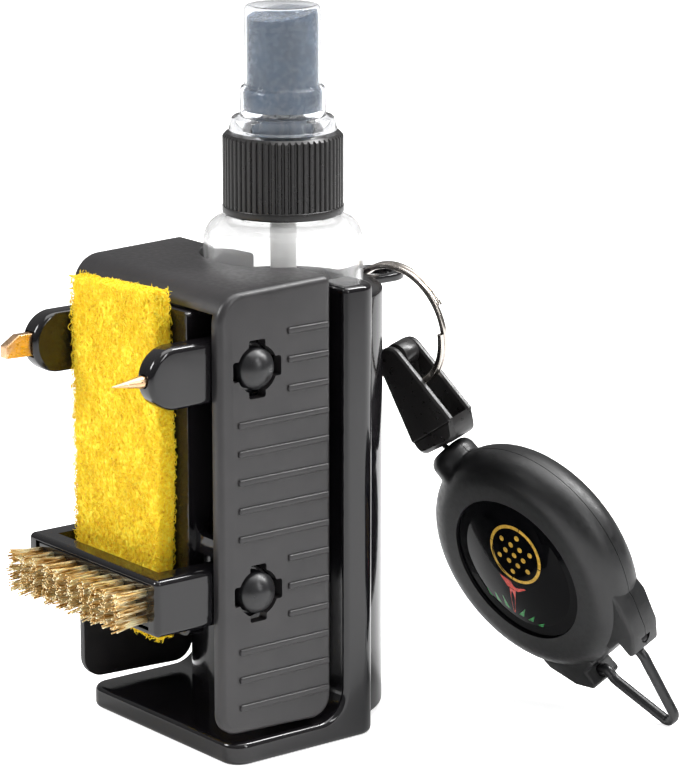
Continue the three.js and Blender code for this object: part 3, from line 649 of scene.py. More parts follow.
HOLDER_LOW, HOLDER_HIGH = millimetres("bottle_holder")
BASE_HALF = HOLDER_HIGH.x
BASE_FRONT = HOLDER_LOW.y
BASE_REAR = 39.0
BASE_THICK = 4.7
BEND = 6.0
EDGE = 1.2
COLUMN_FRONT = 30.3
COLUMN_TOP = HOLDER_HIGH.z
TUBE_INNER = BOTTLE_RADIUS + BOTTLE_PLAY
TUBE_OUTER = 19.2
TUBE_REAR = 20.0
TUBE_FOOT = 1.2
LUG_Z = 87.1
LUG_THICK = 1.8
LUG_REACH = HOLDER_HIGH.y
LUG_HOLE_Y = 57.6
LUG_HOLE_RADIUS = 3.8
SCREW_HEIGHTS = (82, 52)


def holder_tube(name, radius, top):
    corners = [(0, TUBE_FOOT), (radius, TUBE_FOOT, 1.0), (radius, top, 0.8), (0, top)]
    return shift(turned(name, corners, 6, 160), y=BOTTLE_Y)


def lug_hole():
    return shift(rod("lug_hole", LUG_HOLE_RADIUS, LUG_Z - 2, LUG_Z + 4, 64), y=LUG_HOLE_Y)


def build_lug():
    half, root = 5.3, BOTTLE_Y + TUBE_INNER + 1
    tip = (LUG_REACH, half - 0.1)
    outline = rounded([(-half, root), (half, root), (half, *tip), (-half, *tip)], 16)
    lug = prism("lug", outline, LUG_Z, LUG_Z + LUG_THICK, "Z")
    return soften(cut(lug, lug_hole()), 0.5, 4)


def build_bend():
    """The hollow curve where the base plate turns up into the column, with the same edge rounding."""
    middle = (COLUMN_FRONT - BEND, BASE_THICK + BEND)
    rings = []
    for x, inset in edge_steps(-BASE_HALF, BASE_HALF, EDGE):
        radius = BEND + inset
        arc = []
        for k in range(13):
            angle = math.radians(-90 + 90 * k / 12)
            arc.append((x, middle[0] + radius * math.cos(angle), middle[1] + radius * math.sin(angle)))
        buried = [(x, COLUMN_FRONT + 2, middle[1]), (x, COLUMN_FRONT + 2, 2), (x, middle[0], 2)]
        rings.append(arc + buried)
    return loft("bend", rings)


def build_holder():
    plate = slab("bottle_holder_fine", BASE_HALF, BASE_FRONT, BASE_REAR, 4.2, 4, 0, BASE_THICK, EDGE)
    column = slab("column", BASE_HALF, COLUMN_FRONT, BASE_REAR, EDGE + 0.01, 4, 0, COLUMN_TOP, EDGE)
    ahead = block("ahead", -40, 40, -10, BOTTLE_Y + 0.5, 0, 100)
    behind = block("behind", -40, 40, BOTTLE_Y, 80, 0, 100)
    tube = combine(holder_tube("tube", TUBE_OUTER, COLUMN_TOP), "INTERSECT", ahead)
    rear = combine(holder_tube("rear", TUBE_REAR, LUG_Z + LUG_THICK), "INTERSECT", behind)
    join(plate, column, build_bend(), tube, rear, build_lug())
    for z in SCREW_HEIGHTS:
        join(plate, shift(to_front(rod("boss", 3.4, -BOTTLE_Y + TUBE_INNER + 1, -2.5, 32)), z=z))
    bore = shift(rod("bore", TUBE_INNER, 7.1, 110, 160), y=BOTTLE_Y)
    cut(plate, bore, lug_hole())
    return finish(plate, "holder", GLOSS, "bottle_holder", sharp=45)


build_holder()
finish(refined("front_panel", 0.25), "holder", GLOSS, "front_panel")

# ---------------------------------------------------------------- scouring pad

PAD_LOW, PAD_HIGH = millimetres("scouring_pad")
PAD_WAIST = 62.0
PAD_FIBRES = 11000
FRONT_SHARE = 0.62
PAD_CORNERS = [
    Vector((PAD_LOW.x + 0.3, PAD_LOW.z)), Vector((PAD_HIGH.x - 1.9, PAD_LOW.z)),
    Vector((PAD_HIGH.x, PAD_WAIST)), Vector((PAD_HIGH.x - 1.6, PAD_HIGH.z)),
    Vector((PAD_LOW.x, PAD_HIGH.z - 1.3)),
]


def pad_edges():
    """Each edge of the pad as a corner, a direction, a length and the outward normal, in x and z."""
    edges = []
    for here, after in zip(PAD_CORNERS, PAD_CORNERS[1:] + PAD_CORNERS[:1]):
        along = (after - here).normalized()
        edges.append((here, along, (after - here).length, Vector((along.y, -along.x))))
    return edges


def depth_inside(x, z):
    """Distance from the nearest edge of the pad, negative outside it."""
    return min((here - Vector((x, z))).dot(out) for here, _, _, out in pad_edges())


def pad_skin_height(x, z):
    """Layered waves that stand in for matted fibre, a few tenths of a millimetre deep."""
    total = 0.0
    for k, size in enumerate((5.2, 2.3, 1.1)):
        phase = 0.4 + 1.7 * k
        total += math.sin(x / size * 2.1 + phase) * math.sin(z / size * 1.9 + 2 * phase) * size * 0.035
    return total


def build_pad_core():
    inset = 0.55
    middle = sum(PAD_CORNERS, Vector((0, 0))) / len(PAD_CORNERS)
    corners = [c + Vector([math.copysign(inset, m - v) for v, m in zip(c, middle)]) for c in PAD_CORNERS]
    outline = rounded([(c.x, c.y, 1.4) for c in corners], 5)
    core = prism("scouring_pad_core", outline, PAD_LOW.y + inset, PAD_HIGH.y, "Y")
    soften(core, 0.6, 3)
    remesh = core.modifiers.new("remesh", "REMESH")
    remesh.mode = "VOXEL"
    remesh.voxel_size = 0.42
    bake(core)
    texture = bpy.data.textures.new("matted", "CLOUDS")
    texture.noise_scale = 0.9
    texture.noise_depth = 3
    rough = core.modifiers.new("matted", "DISPLACE")
    rough.texture = texture
    rough.strength = 0.9
    rough.mid_level = 0.52
    bake(core)
    flat_back = PAD_HIGH.y
    for vertex in core.data.vertices:
        if vertex.co.y < flat_back - 2:
            vertex.co.y += pad_skin_height(vertex.co.x, vertex.co.z)
        vertex.co.y = min(vertex.co.y, flat_back)
    return core


def fibre_path(rng, spot, normal, along, length, curl):
    """A short bowed fibre that lies on the skin and lifts at its ends."""
    across = normal.cross(along)
    points = []
    steps = 5
    bow = rng.uniform(-1, 1) * curl
    lift = rng.uniform(0.15, 1.0) * curl
    for k in range(steps):
        t = k / (steps - 1) - 0.5
        arch = 1 - 4 * t * t
        points.append(spot + along * (t * length) + across * (bow * arch) + normal * (lift * (arch - 0.55)))
    return points


def pad_spot(rng):
    """A random place on the front or on an edge of the pad, with its outward normal."""
    inset = 0.45
    if rng.random() < FRONT_SHARE:
        x, z = 0, 0
        while depth_inside(x, z) < inset:
            x = rng.uniform(PAD_LOW.x, PAD_HIGH.x)
            z = rng.uniform(PAD_LOW.z, PAD_HIGH.z)
        return Vector((x, PAD_LOW.y + inset, z)), Vector((0, -1, 0))
    edges = pad_edges()
    corner, along, length, out = rng.choices(edges, weights=[edge[2] for edge in edges])[0]
    spot = corner + along * rng.uniform(0, length) - out * inset
    depth = rng.uniform(PAD_LOW.y + 0.5, PAD_HIGH.y - 0.3)
    return Vector((spot.x, depth, spot.y)), Vector((out.x, 0, out.y))


def build_pad_fibres():
    rng = random.Random(11)
    paths = []
    radii = []
    for _ in range(PAD_FIBRES):
        spot, normal = pad_spot(rng)
        heading = Vector((rng.gauss(0, 1), rng.gauss(0, 1), rng.gauss(0, 1)))
        along = (heading - normal * heading.dot(normal) * 0.75).normalized()
        path = fibre_path(rng, spot, normal, along, rng.uniform(0.9, 2.4), rng.uniform(0.2, 0.9))
        for point in path:
            point.y = min(point.y, PAD_HIGH.y - 0.05)
        thick = rng.uniform(0.045, 0.085)
        paths.append(path)
        radii.append([thick * 0.6, thick, thick, thick, thick * 0.6])
    return tubes("scouring_pad_fibres", paths, radii, 4)


finish(build_pad_core(), "holder", FIBRE, "scouring_pad")
finish(build_pad_fibres(), "holder", FIBRE)

# ---------------------------------------------------------------- folding arms

ARM_OUTER = COVER_HALF - WALL - GAP
ARM_THICK = 4.9
ARM_INNER = ARM_OUTER - ARM_THICK
ARM_MIDDLE = (ARM_INNER + ARM_OUTER) / 2
ARM_LENGTH = 23.2
ARM_HALF_HEIGHT = 6.2
SHANK = 2.0
TOOL_SHANK = 4.0
PICK_SHANK = 1.1
BLADE_HALF = 2.35
BLADE_THICK = 2.2
STUD_HEAD = 4.2
STUD_DOME = 4.65


def pivot_place(z):
    return HOME @ Matrix.Translation((0, PIVOT_Y, z))


def pivot_bore(side):
    return to_side(rod("bore", SHANK + GAP, ARM_INNER + 0.6, ARM_OUTER + 5), side)


def build_arm(name, side, socket):
    h = ARM_HALF_HEIGHT
    bend = h - 0.05
    outline = rounded([(-ARM_LENGTH, -h, bend), (h, -h, bend), (h, h, bend), (-ARM_LENGTH, h, bend)], 18)
    low, high = sorted((side * ARM_INNER, side * ARM_OUTER))
    arm = soften(prism(name, outline, low, high, "X"), 1.15, 5, 60)
    bore = pivot_bore(side)
    mark = to_side(shift(rod("ejector_mark", 1.1, ARM_INNER - 3, ARM_INNER + 0.1, 32), y=-14.5), side)
    return cut(arm, bore, mark, socket)


def build_pick():
    root = ARM_LENGTH
    corners = [
        (0, root - TOOL_SHANK), (PICK_SHANK, root - TOOL_SHANK), (PICK_SHANK, root + GAP),
        (1.25, root + GAP + 0.1, 0.05), (1.15, root + 1.2, 0.8), (0.12, root + 7.2), (0, root + 7.3),
    ]
    return shift(to_front(turned("pick_point_fine", corners, 4, 48)), x=ARM_MIDDLE)


def pick_socket():
    socket = rod("socket", PICK_SHANK + GAP, ARM_LENGTH - TOOL_SHANK - GAP, ARM_LENGTH + 5)
    return shift(to_front(socket), x=ARM_MIDDLE)


def build_blade():
    root = -ARM_LENGTH
    outline = rounded([
        (root - 5.8, -BLADE_HALF + 0.3, 0.3), (root + TOOL_SHANK, -BLADE_HALF),
        (root + TOOL_SHANK, BLADE_HALF), (root - 2.8, BLADE_HALF, 0.4), (root - 5.8, 0.4, 0.3),
    ], 4)
    half = BLADE_THICK / 2
    blade = prism("scraper_blade_fine", outline, -ARM_MIDDLE - half, -ARM_MIDDLE + half, "X")
    return soften(blade, 0.22, 3)


def blade_socket():
    half = BLADE_THICK / 2 + GAP
    tall = BLADE_HALF + GAP
    root = -ARM_LENGTH
    return block("socket", -ARM_MIDDLE - half, -ARM_MIDDLE + half, root - 5, root + TOOL_SHANK + GAP,
                 -tall, tall)


def build_stud(name, side):
    profile = rounded([
        (0, ARM_INNER + 1), (SHANK, ARM_INNER + 1), (SHANK, ARM_OUTER + GAP),
        (STUD_HEAD, ARM_OUTER + GAP, 0.2),
    ], 3, closed=False)
    centre, start, steps = COVER_HALF - WALL, 29, 14
    for k in range(steps):
        angle = math.radians(start + (90 - start) * k / steps)
        profile.append(Vector((STUD_DOME * math.cos(angle), centre + STUD_DOME * math.sin(angle))))
    profile.append(Vector((0, centre + STUD_DOME)))
    return to_side(lathe(name, profile), side)


def add_studs(z, body_right, body_left, suffix):
    for side, body, word in ((1, body_right, "right"), (-1, body_left, "left")):
        node = f"{word}_{suffix}_pivot"
        stud = build_stud(node + "_fine", side)
        finish(stud, body, DOME, node, place=pivot_place(z))


PICKS = pivot_place(PICK_Z)
finish(build_arm("right_pick_arm_fine", 1, pick_socket()), "right_pick", GLOSS, "right_pick_arm", place=PICKS)
finish(build_pick(), "right_pick", BRASS, "pick_point", place=PICKS)
finish(build_arm("left_pick_arm_fine", -1, blade_socket()), "left_pick", GLOSS, "left_pick_arm", place=PICKS)
finish(build_blade(), "left_pick", BRASS, "scraper_blade", place=PICKS)
add_studs(PICK_Z, "right_pick", "left_pick", "pick")
add_studs(BRUSH_Z, "brush", "brush", "brush")

# ---------------------------------------------------------------- brush

BRUSH_HALF = 5.8
BRUSH_REACH = 22.5
BRUSH_BAR = 4.0
STRIP_RECESS = 1.6
STRIP_HALF_WIDTH = 19.2
STRIP_HALF_HEIGHT = 4.4
BRISTLE = 7.3
TUFT_PITCH_X = 4.0
TUFT_PITCH_Z = 2.7
TUFT_RINGS = ((0.12, 3), (0.5, 8), (0.88, 13))


def build_brush_frame():
    h = BRUSH_HALF
    bend = h - 0.05
    side = rounded([(-BRUSH_REACH, -h, 1.2), (h, -h, bend), (h, h, bend), (-BRUSH_REACH, h, 1.2)], 14)
    bar = soften(prism("brush_frame_fine", side, -ARM_OUTER, ARM_OUTER, "X"), 1.25, 6, 50)
    inside = block("inside", -ARM_INNER, ARM_INNER, -BRUSH_REACH + BRUSH_BAR, h + 2, -h - 1, h + 1)
    recess = block("recess", -STRIP_HALF_WIDTH - GAP, STRIP_HALF_WIDTH + GAP, -BRUSH_REACH - 1,
                   -BRUSH_REACH + STRIP_RECESS + GAP, -STRIP_HALF_HEIGHT - GAP, STRIP_HALF_HEIGHT + GAP)
    cut(bar, inside)
    return cut(bar, recess, pivot_bore(-1), pivot_bore(1))


def tuft_wires(rng, x, z, paths, radii):
    """A tuft of wires in three rings, that fans out from its hole and frays at the tip."""
    lean = Vector((rng.gauss(0, 0.16) + x * 0.02, 0, rng.gauss(0, 0.14) - 0.25))
    reach = BRISTLE - rng.uniform(0, 0.5)
    wires = [(ring, count) for ring, count in TUFT_RINGS for _ in range(count)]
    for k, (ring, count) in enumerate(wires):
        angle = 2 * math.pi * k / count + rng.uniform(-0.25, 0.25)
        out = Vector((math.cos(angle), 0, math.sin(angle))) * ring
        root = Vector((x, -BRUSH_REACH + STRIP_RECESS - 0.4, z)) + out * 0.75
        fray = out * rng.uniform(0.45, 0.95) + Vector((rng.gauss(0, 0.17), 0, rng.gauss(0, 0.17)))
        tip = root + lean + fray
        tip.y = -BRUSH_REACH - reach + rng.uniform(0, 0.45)
        bend = Vector((rng.gauss(0, 0.08), 0, rng.gauss(0, 0.08))) - fray * 0.25
        path = [root.lerp(tip, t) + bend * (4 * t * (1 - t)) for t in (0, 0.25, 0.5, 0.75, 1)]
        thick = rng.uniform(0.125, 0.16)
        paths.append(path)
        radii.append([thick] * len(path))


def build_bristles():
    rng = random.Random(5)
    paths = []
    radii = []
    for column in range(10):
        for row in range(3):
            tuft_wires(rng, (column - 4.5) * TUFT_PITCH_X, (row - 1) * TUFT_PITCH_Z, paths, radii)
    return tubes("brass_wires", paths, radii, 6)


def build_strip():
    strip = block("bristle_strip", -STRIP_HALF_WIDTH, STRIP_HALF_WIDTH, -BRUSH_REACH + 0.35,
                  -BRUSH_REACH + STRIP_RECESS, -STRIP_HALF_HEIGHT, STRIP_HALF_HEIGHT)
    return soften(strip, 0.3, 3)


BRUSH = pivot_place(BRUSH_Z)
finish(build_brush_frame(), "brush", GLOSS, "brush_frame", place=BRUSH, sharp=45)
finish(build_bristles(), "brush", WIRE_BRASS, "brass_bristles", place=BRUSH)
finish(build_strip(), "brush", GLOSS, place=BRUSH)

# ---------------------------------------------------------------- spray bottle

BOTTLE = HOME @ Matrix.Translation((0, BOTTLE_Y, 0))
COLLAR_LOW, COLLAR_HIGH = millimetres("ribbed_collar")
COLLAR_RADIUS = 12.1
NECK = 9.9
CAP_TOP = millimetres("overcap")[1].z
NOZZLE_Z = 137.5


def shoulder(radius, neck, height):
    """Squared quarter ellipse: the side stays upright for longer before it turns in to the neck."""
    foot, squareness = 97, 0.72
    points = []
    for k in range(25):
        angle = math.pi / 2 * k / 24
        reach = max(0, math.cos(angle)) ** squareness
        points.append((neck + (radius - neck) * reach, foot + height * math.sin(angle) ** squareness))
    return points


def build_bottle():
    thick = 0.9
    inner = BOTTLE_RADIUS - thick
    outside = rounded([(0, BOTTLE_FLOOR + 1.2), (8, BOTTLE_FLOOR + 0.8, 3), (12, BOTTLE_FLOOR, 1),
                       (BOTTLE_RADIUS, BOTTLE_FLOOR, 2.5), (BOTTLE_RADIUS, 97)], 8, closed=False)
    outside += shoulder(BOTTLE_RADIUS, NECK, 6.2)[1:]
    top, bore = 116, NECK - 2
    lip = rounded([(NECK, 103.2), (NECK, top, 0.4), (bore, top, 0.4), (bore, 102.2)], 4, closed=False)[1:]
    inside = shoulder(inner, NECK - 2, 5.2)[::-1]
    base = [(inner, 96), (inner, BOTTLE_FLOOR + 1.4, 2), (0, BOTTLE_FLOOR + 2.2)]
    floor = rounded(base, 8, closed=False)[1:]
    return lathe("spray_bottle_fine", outside + lip + inside + floor, 128)


def build_collar():
    """Fine upright ribs over a smooth foot ring."""
    ribs = 58
    half_rib = ((0.0, 0.42), (0.12, 0.40), (0.28, 0.04), (0.40, 0.0))
    whole_rib = half_rib + tuple((1 - part, depth) for part, depth in reversed(half_rib[1:]))
    outline = []
    for i in range(ribs):
        for part, depth in whole_rib:
            angle = 2 * math.pi * (i + part) / ribs
            radius = COLLAR_RADIUS - depth
            outline.append((radius * math.cos(angle), radius * math.sin(angle)))
    ribbed = prism("ribbed_collar_fine", outline, COLLAR_LOW.z + 1.5, COLLAR_HIGH.z - 0.1, "Z")
    beyond, top = COLLAR_RADIUS + 1, COLLAR_HIGH.z
    crown = [(0, 100), (beyond, 100), (beyond, top - 1.9), (COLLAR_RADIUS - 0.7, top, 0.4), (0, top)]
    combine(ribbed, "INTERSECT", turned("crown", crown, 5, 160))
    reach, low, high = COLLAR_RADIUS + 0.1, COLLAR_LOW.z, COLLAR_LOW.z + 1.7
    foot = [(0, low), (reach, low, 0.35), (reach, high, 0.25), (0, high)]
    join(ribbed, turned("foot", foot, 4, 160))
    inside = rod("inside", NECK + 0.5, COLLAR_LOW.z - 1, COLLAR_HIGH.z - 2, 96)
    mouth = rod("mouth", 6.6, COLLAR_LOW.z, COLLAR_HIGH.z + 1, 96)
    return cut(ribbed, inside, mouth)


def build_pump_body():
    profile = [
        (1.85, 92), (2.65, 92), (2.65, 104.6), (4, 105.4), (4, 117.2), (9.6, 117.4), (9.6, 117.9),
        (1.6, 117.9), (1.6, 115), (2.05, 114.5),
        (2.05, 101), (1.7, 100.9), (1.7, 98.2), (0.8, 97.8), (0.8, 97.3), (1.85, 97.3),
    ]
    return soften(lathe("pump_body_fine", profile, 64, loop=True), 0.12, 2, 30)


def build_dip_tube():
    bore, outer, foot, top = 0.9, 1.5, 10.5, 97
    return lathe("dip_tube_fine", [(bore, foot), (outer, foot), (outer, top), (bore, top)], 40, loop=True)


def build_pump_turret():
    """The top of the pump that stands out of the collar, moulded in the button's colour."""
    profile = [(1.6, 117.95), (6.3, 117.95), (6.3, 122.2), (4.6, 122.6), (4.6, 123), (1.6, 123)]
    return soften(lathe("pump_turret_fine", profile, 64, loop=True), 0.2, 3, 30)


def at_nozzle(obj):
    """Turns local +Z to the rear of the button, at the height of its nozzle."""
    return shift(turn(to_front(obj), Matrix.Rotation(math.pi, 4, "Z")), z=NOZZLE_Z)


def build_button():
    """Stepped body that fills the cap, with a finger dish sloping down to the front."""
    corners = [
        (0, 124.6), (7.9, 124.6, 0.2), (7.9, 128.1), (7.6, 128.8, 0.3), (7.15, 129.1, 0.3), (7.1, 142.8, 1),
        (6.8, 144.8), (0, 144.8),
    ]
    body = turned("spray_button_fine", corners, 5, 128)
    slope = turn(block("slope", -9, 9, -9, 9, 0, 6), Matrix.Rotation(math.radians(9), 4, "X"))
    angles = [math.pi * k / 48 for k in range(49)]
    dish = lathe("dish", [(14 * math.sin(a), -14 * math.cos(a)) for a in angles], 96)
    cut(body, shift(slope, z=143.9), shift(dish, y=0.5, z=157))
    soften(body, 0.3, 4, 30)
    cut(body, rod("skirt", 6.7, 120, 127.8, 64), rod("turret", 5.1, 120, 131, 64))
    cut(body, rod("socket", 1.6, 125, 131.8, 32))
    return cut(body, at_nozzle(rod("seat", 2.3, 4.4, 9, 48)))


def build_nozzle():
    profile = [(0.4, 4.8), (2, 4.8), (2, 6), (0.9, 6), (0.4, 5.5)]
    return at_nozzle(soften(lathe("spray_nozzle_fine", profile, 48, loop=True), 0.12, 2, 30))


def build_overcap():
    thin = 0.3
    profile = rounded([
        (10.9, 120.6, 0.2), (10.2, 123.2, 0.4), (8.6, 123.5, 0.4), (8.45, 129.2, 0.5), (7.7, 129.6, 0.4),
        (7.6, CAP_TOP, 1.0), (0, CAP_TOP), (0, CAP_TOP - thin), (7.6 - thin, CAP_TOP - thin, 0.7),
        (7.7 - thin, 129.9, 0.3), (8.45 - thin, 129, 0.3), (8.6 - thin, 124, 0.3), (8.15, 123.2),
        (8.15, 120.6, 0.1),
    ], 5)
    return lathe("overcap_fine", profile, 128, loop=True)


finish(build_bottle(), "bottle", BOTTLE_CLEAR, "spray_bottle", place=BOTTLE, sharp=60)
finish(build_collar(), "collar", COLLAR_PLASTIC, "ribbed_collar", place=BOTTLE)
finish(build_pump_body(), "pump", MILKY, "pump_body", place=BOTTLE)
finish(build_pump_turret(), "pump", BLUE_GREY, place=BOTTLE)
finish(build_dip_tube(), "pump", MILKY, "dip_tube", place=BOTTLE)
finish(build_button(), "button", BLUE_GREY, "spray_button", place=BOTTLE, sharp=45)
finish(build_nozzle(), "button", MILKY, "spray_nozzle", place=BOTTLE)
finish(build_overcap(), "cap", CAP_CLEAR, "overcap", place=BOTTLE, sharp=60)

# ---------------------------------------------------------------- split ring and fork


def ring_frame():
    """Centre, axes and radius of the ring, from the two wire lines that the joints give."""
    lug = Vector(JOINTS["ring_swing"]["pos_m"])
    tangent = Vector(JOINTS["ring_swing"]["axis"]).normalized()
    chord = Vector(JOINTS["fork_swing"]["pos_m"]) - lug
    normal = tangent.cross(chord).normalized()
    radius = chord.length / (2 * (tangent.cross(chord).length / chord.length))
    inwards = normal.cross(tangent)
    centre = lug + inwards * radius
    right = Vector((1, 0, 0))
    right = (right - normal * right.dot(normal)).normalized()
    return centre, right, normal if normal.y > 0 else -normal, radius / MM


def axes_matrix(origin, x, y, z):
    matrix = Matrix((x, y, z)).transposed().to_4x4()
    return Matrix.Translation(origin) @ matrix @ Matrix.Scale(MM, 4)


RING_CENTRE, RING_X, RING_Y, RING_RADIUS = ring_frame()
RING = axes_matrix(RING_CENTRE, RING_X, RING_Y, RING_X.cross(RING_Y))


def build_ring():
    """Two flat turns of wire side by side, with rounded edges and cut ends."""
    pitch, turns, wide, thin = 1.02, 1.93, 0.62, 0.47
    steps = 260
    points = []
    sides = []
    for k in range(steps + 1):
        t = k / steps
        angle = -2 * math.pi * turns * t
        out = Vector((math.cos(angle), 0, math.sin(angle)))
        points.append(out * RING_RADIUS + Vector((0, pitch * turns * (t - 0.5), 0)))
        sides.append(out)
    corners = ((-wide, -thin), (wide, -thin), (wide, thin), (-wide, thin))
    section = rounded([(u, v, 0.26) for u, v in corners], 4)
    return sweep("split_ring_fine", points, section, sides)


finish(build_ring(), "ring", NICKEL, "split_ring", place=RING)
finish(refined("strap_fork", 0.32, 3), "fork", FORK_PLASTIC, "strap_fork")
finish(refined("fork_pin", 0.1, 2), "fork", FORK_PLASTIC, "fork_pin")

# ---------------------------------------------------------------- retractable reel

REEL_X = Vector(JOINTS["bail_swing"]["axis"]).normalized()
REEL_Y = Vector(JOINTS["spool_turn"]["axis"]).normalized()
REEL_Z = -Vector(JOINTS["cord_pull"]["axis"]).normalized()
REEL_CENTRE = Vector(JOINTS["spool_turn"]["pos_m"])
REEL = axes_matrix(REEL_CENTRE, REEL_X, REEL_Y, REEL_Z)
FORK_FOOT = Vector(JOINTS["cord_swivel"]["pos_m"])
REEL_DROP = (FORK_FOOT - REEL_CENTRE).length / MM
REEL_RADIUS = 25.1
REEL_HALF = 6.1
REEL_EDGE = 5.6
NOZZLE_MOUTH = REEL_DROP - 0.5
SHELL_WALL = 1.5
BADGE_RADIUS = 16.2
BAIL_HINGE = -26.6
BAIL_WIRE = 1.1
CORD_RADIUS = 0.6


def case_disc():
    half, edge = REEL_HALF, REEL_EDGE
    profile = [(0, -half)]
    for start, height in ((-90, edge - half), (0, half - edge)):
        for k in range(25):
            angle = math.radians(start + 90 * k / 24)
            profile.append((REEL_RADIUS - edge + edge * math.cos(angle), height + edge * math.sin(angle)))
    profile.append((0, half))
    return to_front(lathe("case", profile, 160))


def case_neck():
    corners = [
        (0, 14), (6.2, 14), (5.4, 21, 6), (5.0, 25), (5.0, NOZZLE_MOUTH, 2.4), (0, NOZZLE_MOUTH),
    ]
    return turned("neck", corners, 8, 64)


def case_horn(sign):
    outline = [
        (sign * 4, -20), (sign * 4, -24.7), (sign * 8.1, -24.7), (sign * 8.1, -28.4),
        (sign * 9.8, -28.6), (sign * 13.6, -25.6), (sign * 17.2, -19.4), (sign * 17.4, -15),
    ]
    return soften(prism("horn", outline, -3.9, 3.9, "Y"), 0.6, 3)


def build_case():
    """The moulded case before it is parted: disc and neck flow together, the horns stay crisp."""
    case = join(case_disc(), case_neck())
    remesh = case.modifiers.new("remesh", "REMESH")
    remesh.mode = "VOXEL"
    remesh.voxel_size = 0.34
    smooth = case.modifiers.new("smooth", "SMOOTH")
    smooth.factor = 0.6
    smooth.iterations = 9
    bake(case)
    return join(case, case_horn(-1), case_horn(1))


def hollow_case(case):
    half = REEL_HALF - SHELL_WALL
    chamber = to_front(rod("chamber", 20.6, -half, half, 96))
    bore = rod("cord_bore", CORD_RADIUS + 0.6, 15, NOZZLE_MOUTH + 2, 32)
    seat = shift(to_side(rod("bail_seat", BAIL_WIRE + GAP, -12, 12, 32)), z=BAIL_HINGE)
    return cut(case, chamber, bore, seat)


def build_shells():
    case = hollow_case(build_case())
    rear = linked("reel_rear_shell_fine", case.data.copy())
    far, parting = 60, 0.06
    cut(rear, block("front_half", -far, far, -far, parting, -far, far))
    cut(case, block("rear_half", -far, far, -parting, far, -far, far))
    case.name = "reel_front_shell_fine"
    seat = to_front(rod("badge_seat", BADGE_RADIUS + 0.12, REEL_HALF - 0.9, REEL_HALF + 5, 128))
    cut(case, seat)
    return case, rear


def dome_height(radius):
    """Height of the label's dome above the middle plane of the case."""
    dome = 60.0
    rise = dome - math.sqrt(dome * dome - BADGE_RADIUS * BADGE_RADIUS)
    return REEL_HALF - 0.1 + math.sqrt(dome * dome - radius * radius) - dome + rise * 0.5


def build_badge():
    profile = [(0, REEL_HALF - 0.6), (BADGE_RADIUS, REEL_HALF - 0.6)]
    for k in range(21):
        radius = BADGE_RADIUS * (1 - k / 20)
        edge = 0.12 * max(0, 1 - k / 1.5)
        profile.append((radius, dome_height(radius) - edge))
    return to_front(lathe("reel_badge_fine", profile, 128))


def build_bail():
    half, tip = 6.4, -44.2
    corners = [
        (11, BAIL_HINGE), (half, BAIL_HINGE, 1.2), (half + 0.4, BAIL_HINGE - 3, 4), (1.6, tip + 1, 1.5),
        (-1.6, tip + 1, 1.5), (-half - 0.4, BAIL_HINGE - 3, 4), (-half, BAIL_HINGE, 1.2), (-11, BAIL_HINGE),
    ]
    points = [Vector((p.x, 0, p.y)) for p in rounded(corners, 10, closed=False)]
    return sweep("wire_bail_fine", points, circle(0, 0, BAIL_WIRE, 20))


# The printed mark: a ball on a tee over a strip of turf. Inks lie on the dome, a hair proud of it.


def inked(name, outline, skin, lift=0.02):
    """A thin printed shape that follows the dome. The outline is in the label's own x and z."""
    count = len(outline)
    fine = []
    for i, (x, z) in enumerate(outline):
        nx, nz = outline[(i + 1) % count]
        fine += [(x + (nx - x) * t / 3, z + (nz - z) * t / 3) for t in range(3)]
    verts = []
    for rise in (lift, -0.15):
        for x, z in fine:
            verts.append((x, -dome_height(math.hypot(x, z)) - rise, z))
    return finish(new_object(name, verts, tube_faces(len(fine), 2)), "reel", skin, place=REEL)


MARK_SCALE = 1.4
MARK_TILT = Matrix.Rotation(math.radians(-60), 2)


def on_label(points):
    return [tuple(MARK_TILT @ Vector(p) * MARK_SCALE) for p in points]


def ring_part(centre, outer, inner, start, end, steps=14):
    angles = [math.radians(start + (end - start) * k / steps) for k in range(steps + 1)]
    there = [(centre[0] + outer * math.cos(a), centre[1] + outer * math.sin(a)) for a in angles]
    back = [(centre[0] + inner * math.cos(a), centre[1] + inner * math.sin(a)) for a in reversed(angles)]
    return there + back


def print_mark():
    ball, radius = (0.0, 3.4), 4.8
    for i in range(4):
        quarter = ring_part(ball, radius, radius - 0.5, 90 * i, 90 * i + 88)
        inked(f"label_ball_{i}", on_label(quarter), INK_GOLD)
    dimples = [(0, 0)] + [(1.7, 60 * k) for k in range(6)] + [(3.1, 30 + 60 * k) for k in range(6)]
    for i, (reach, angle) in enumerate(dimples):
        x = ball[0] + reach * math.cos(math.radians(angle))
        z = ball[1] + reach * math.sin(math.radians(angle))
        inked(f"label_dimple_{i}", on_label(circle(x, z, 0.42, 12)), INK_GOLD)
    inked("label_tee_cup", on_label([(-2.5, -2.0), (2.5, -2.0), (1.0, -3.4), (-1.0, -3.4)]), INK_RED)
    inked("label_tee_stem", on_label([(-0.6, -3.5), (0.6, -3.5), (0.15, -8.8), (-0.15, -8.8)]), INK_RED)
    for side, word in ((-1, "left"), (1, "right")):
        for i in range(3):
            foot = side * (1.3 + 1.7 * i)
            tip = foot + side * 0.9
            blade = [(foot - 0.45, -8.6), (foot + 0.45, -8.6), (tip, -6.4 - 0.5 * i)]
            inked(f"label_turf_{word}_{i}", on_label(blade), INK_GREEN)


FRONT_SHELL, REAR_SHELL = build_shells()
finish(FRONT_SHELL, "reel", REEL_PLASTIC, "reel_front_shell", place=REEL, sharp=50)
finish(REAR_SHELL, "reel", REEL_PLASTIC, "reel_rear_shell", place=REEL, sharp=50)
finish(build_badge(), "reel", LACQUER, "reel_badge", place=REEL, sharp=60)
print_mark()
finish(build_bail(), "bail", WIRE_PAINT, "wire_bail", place=REEL)


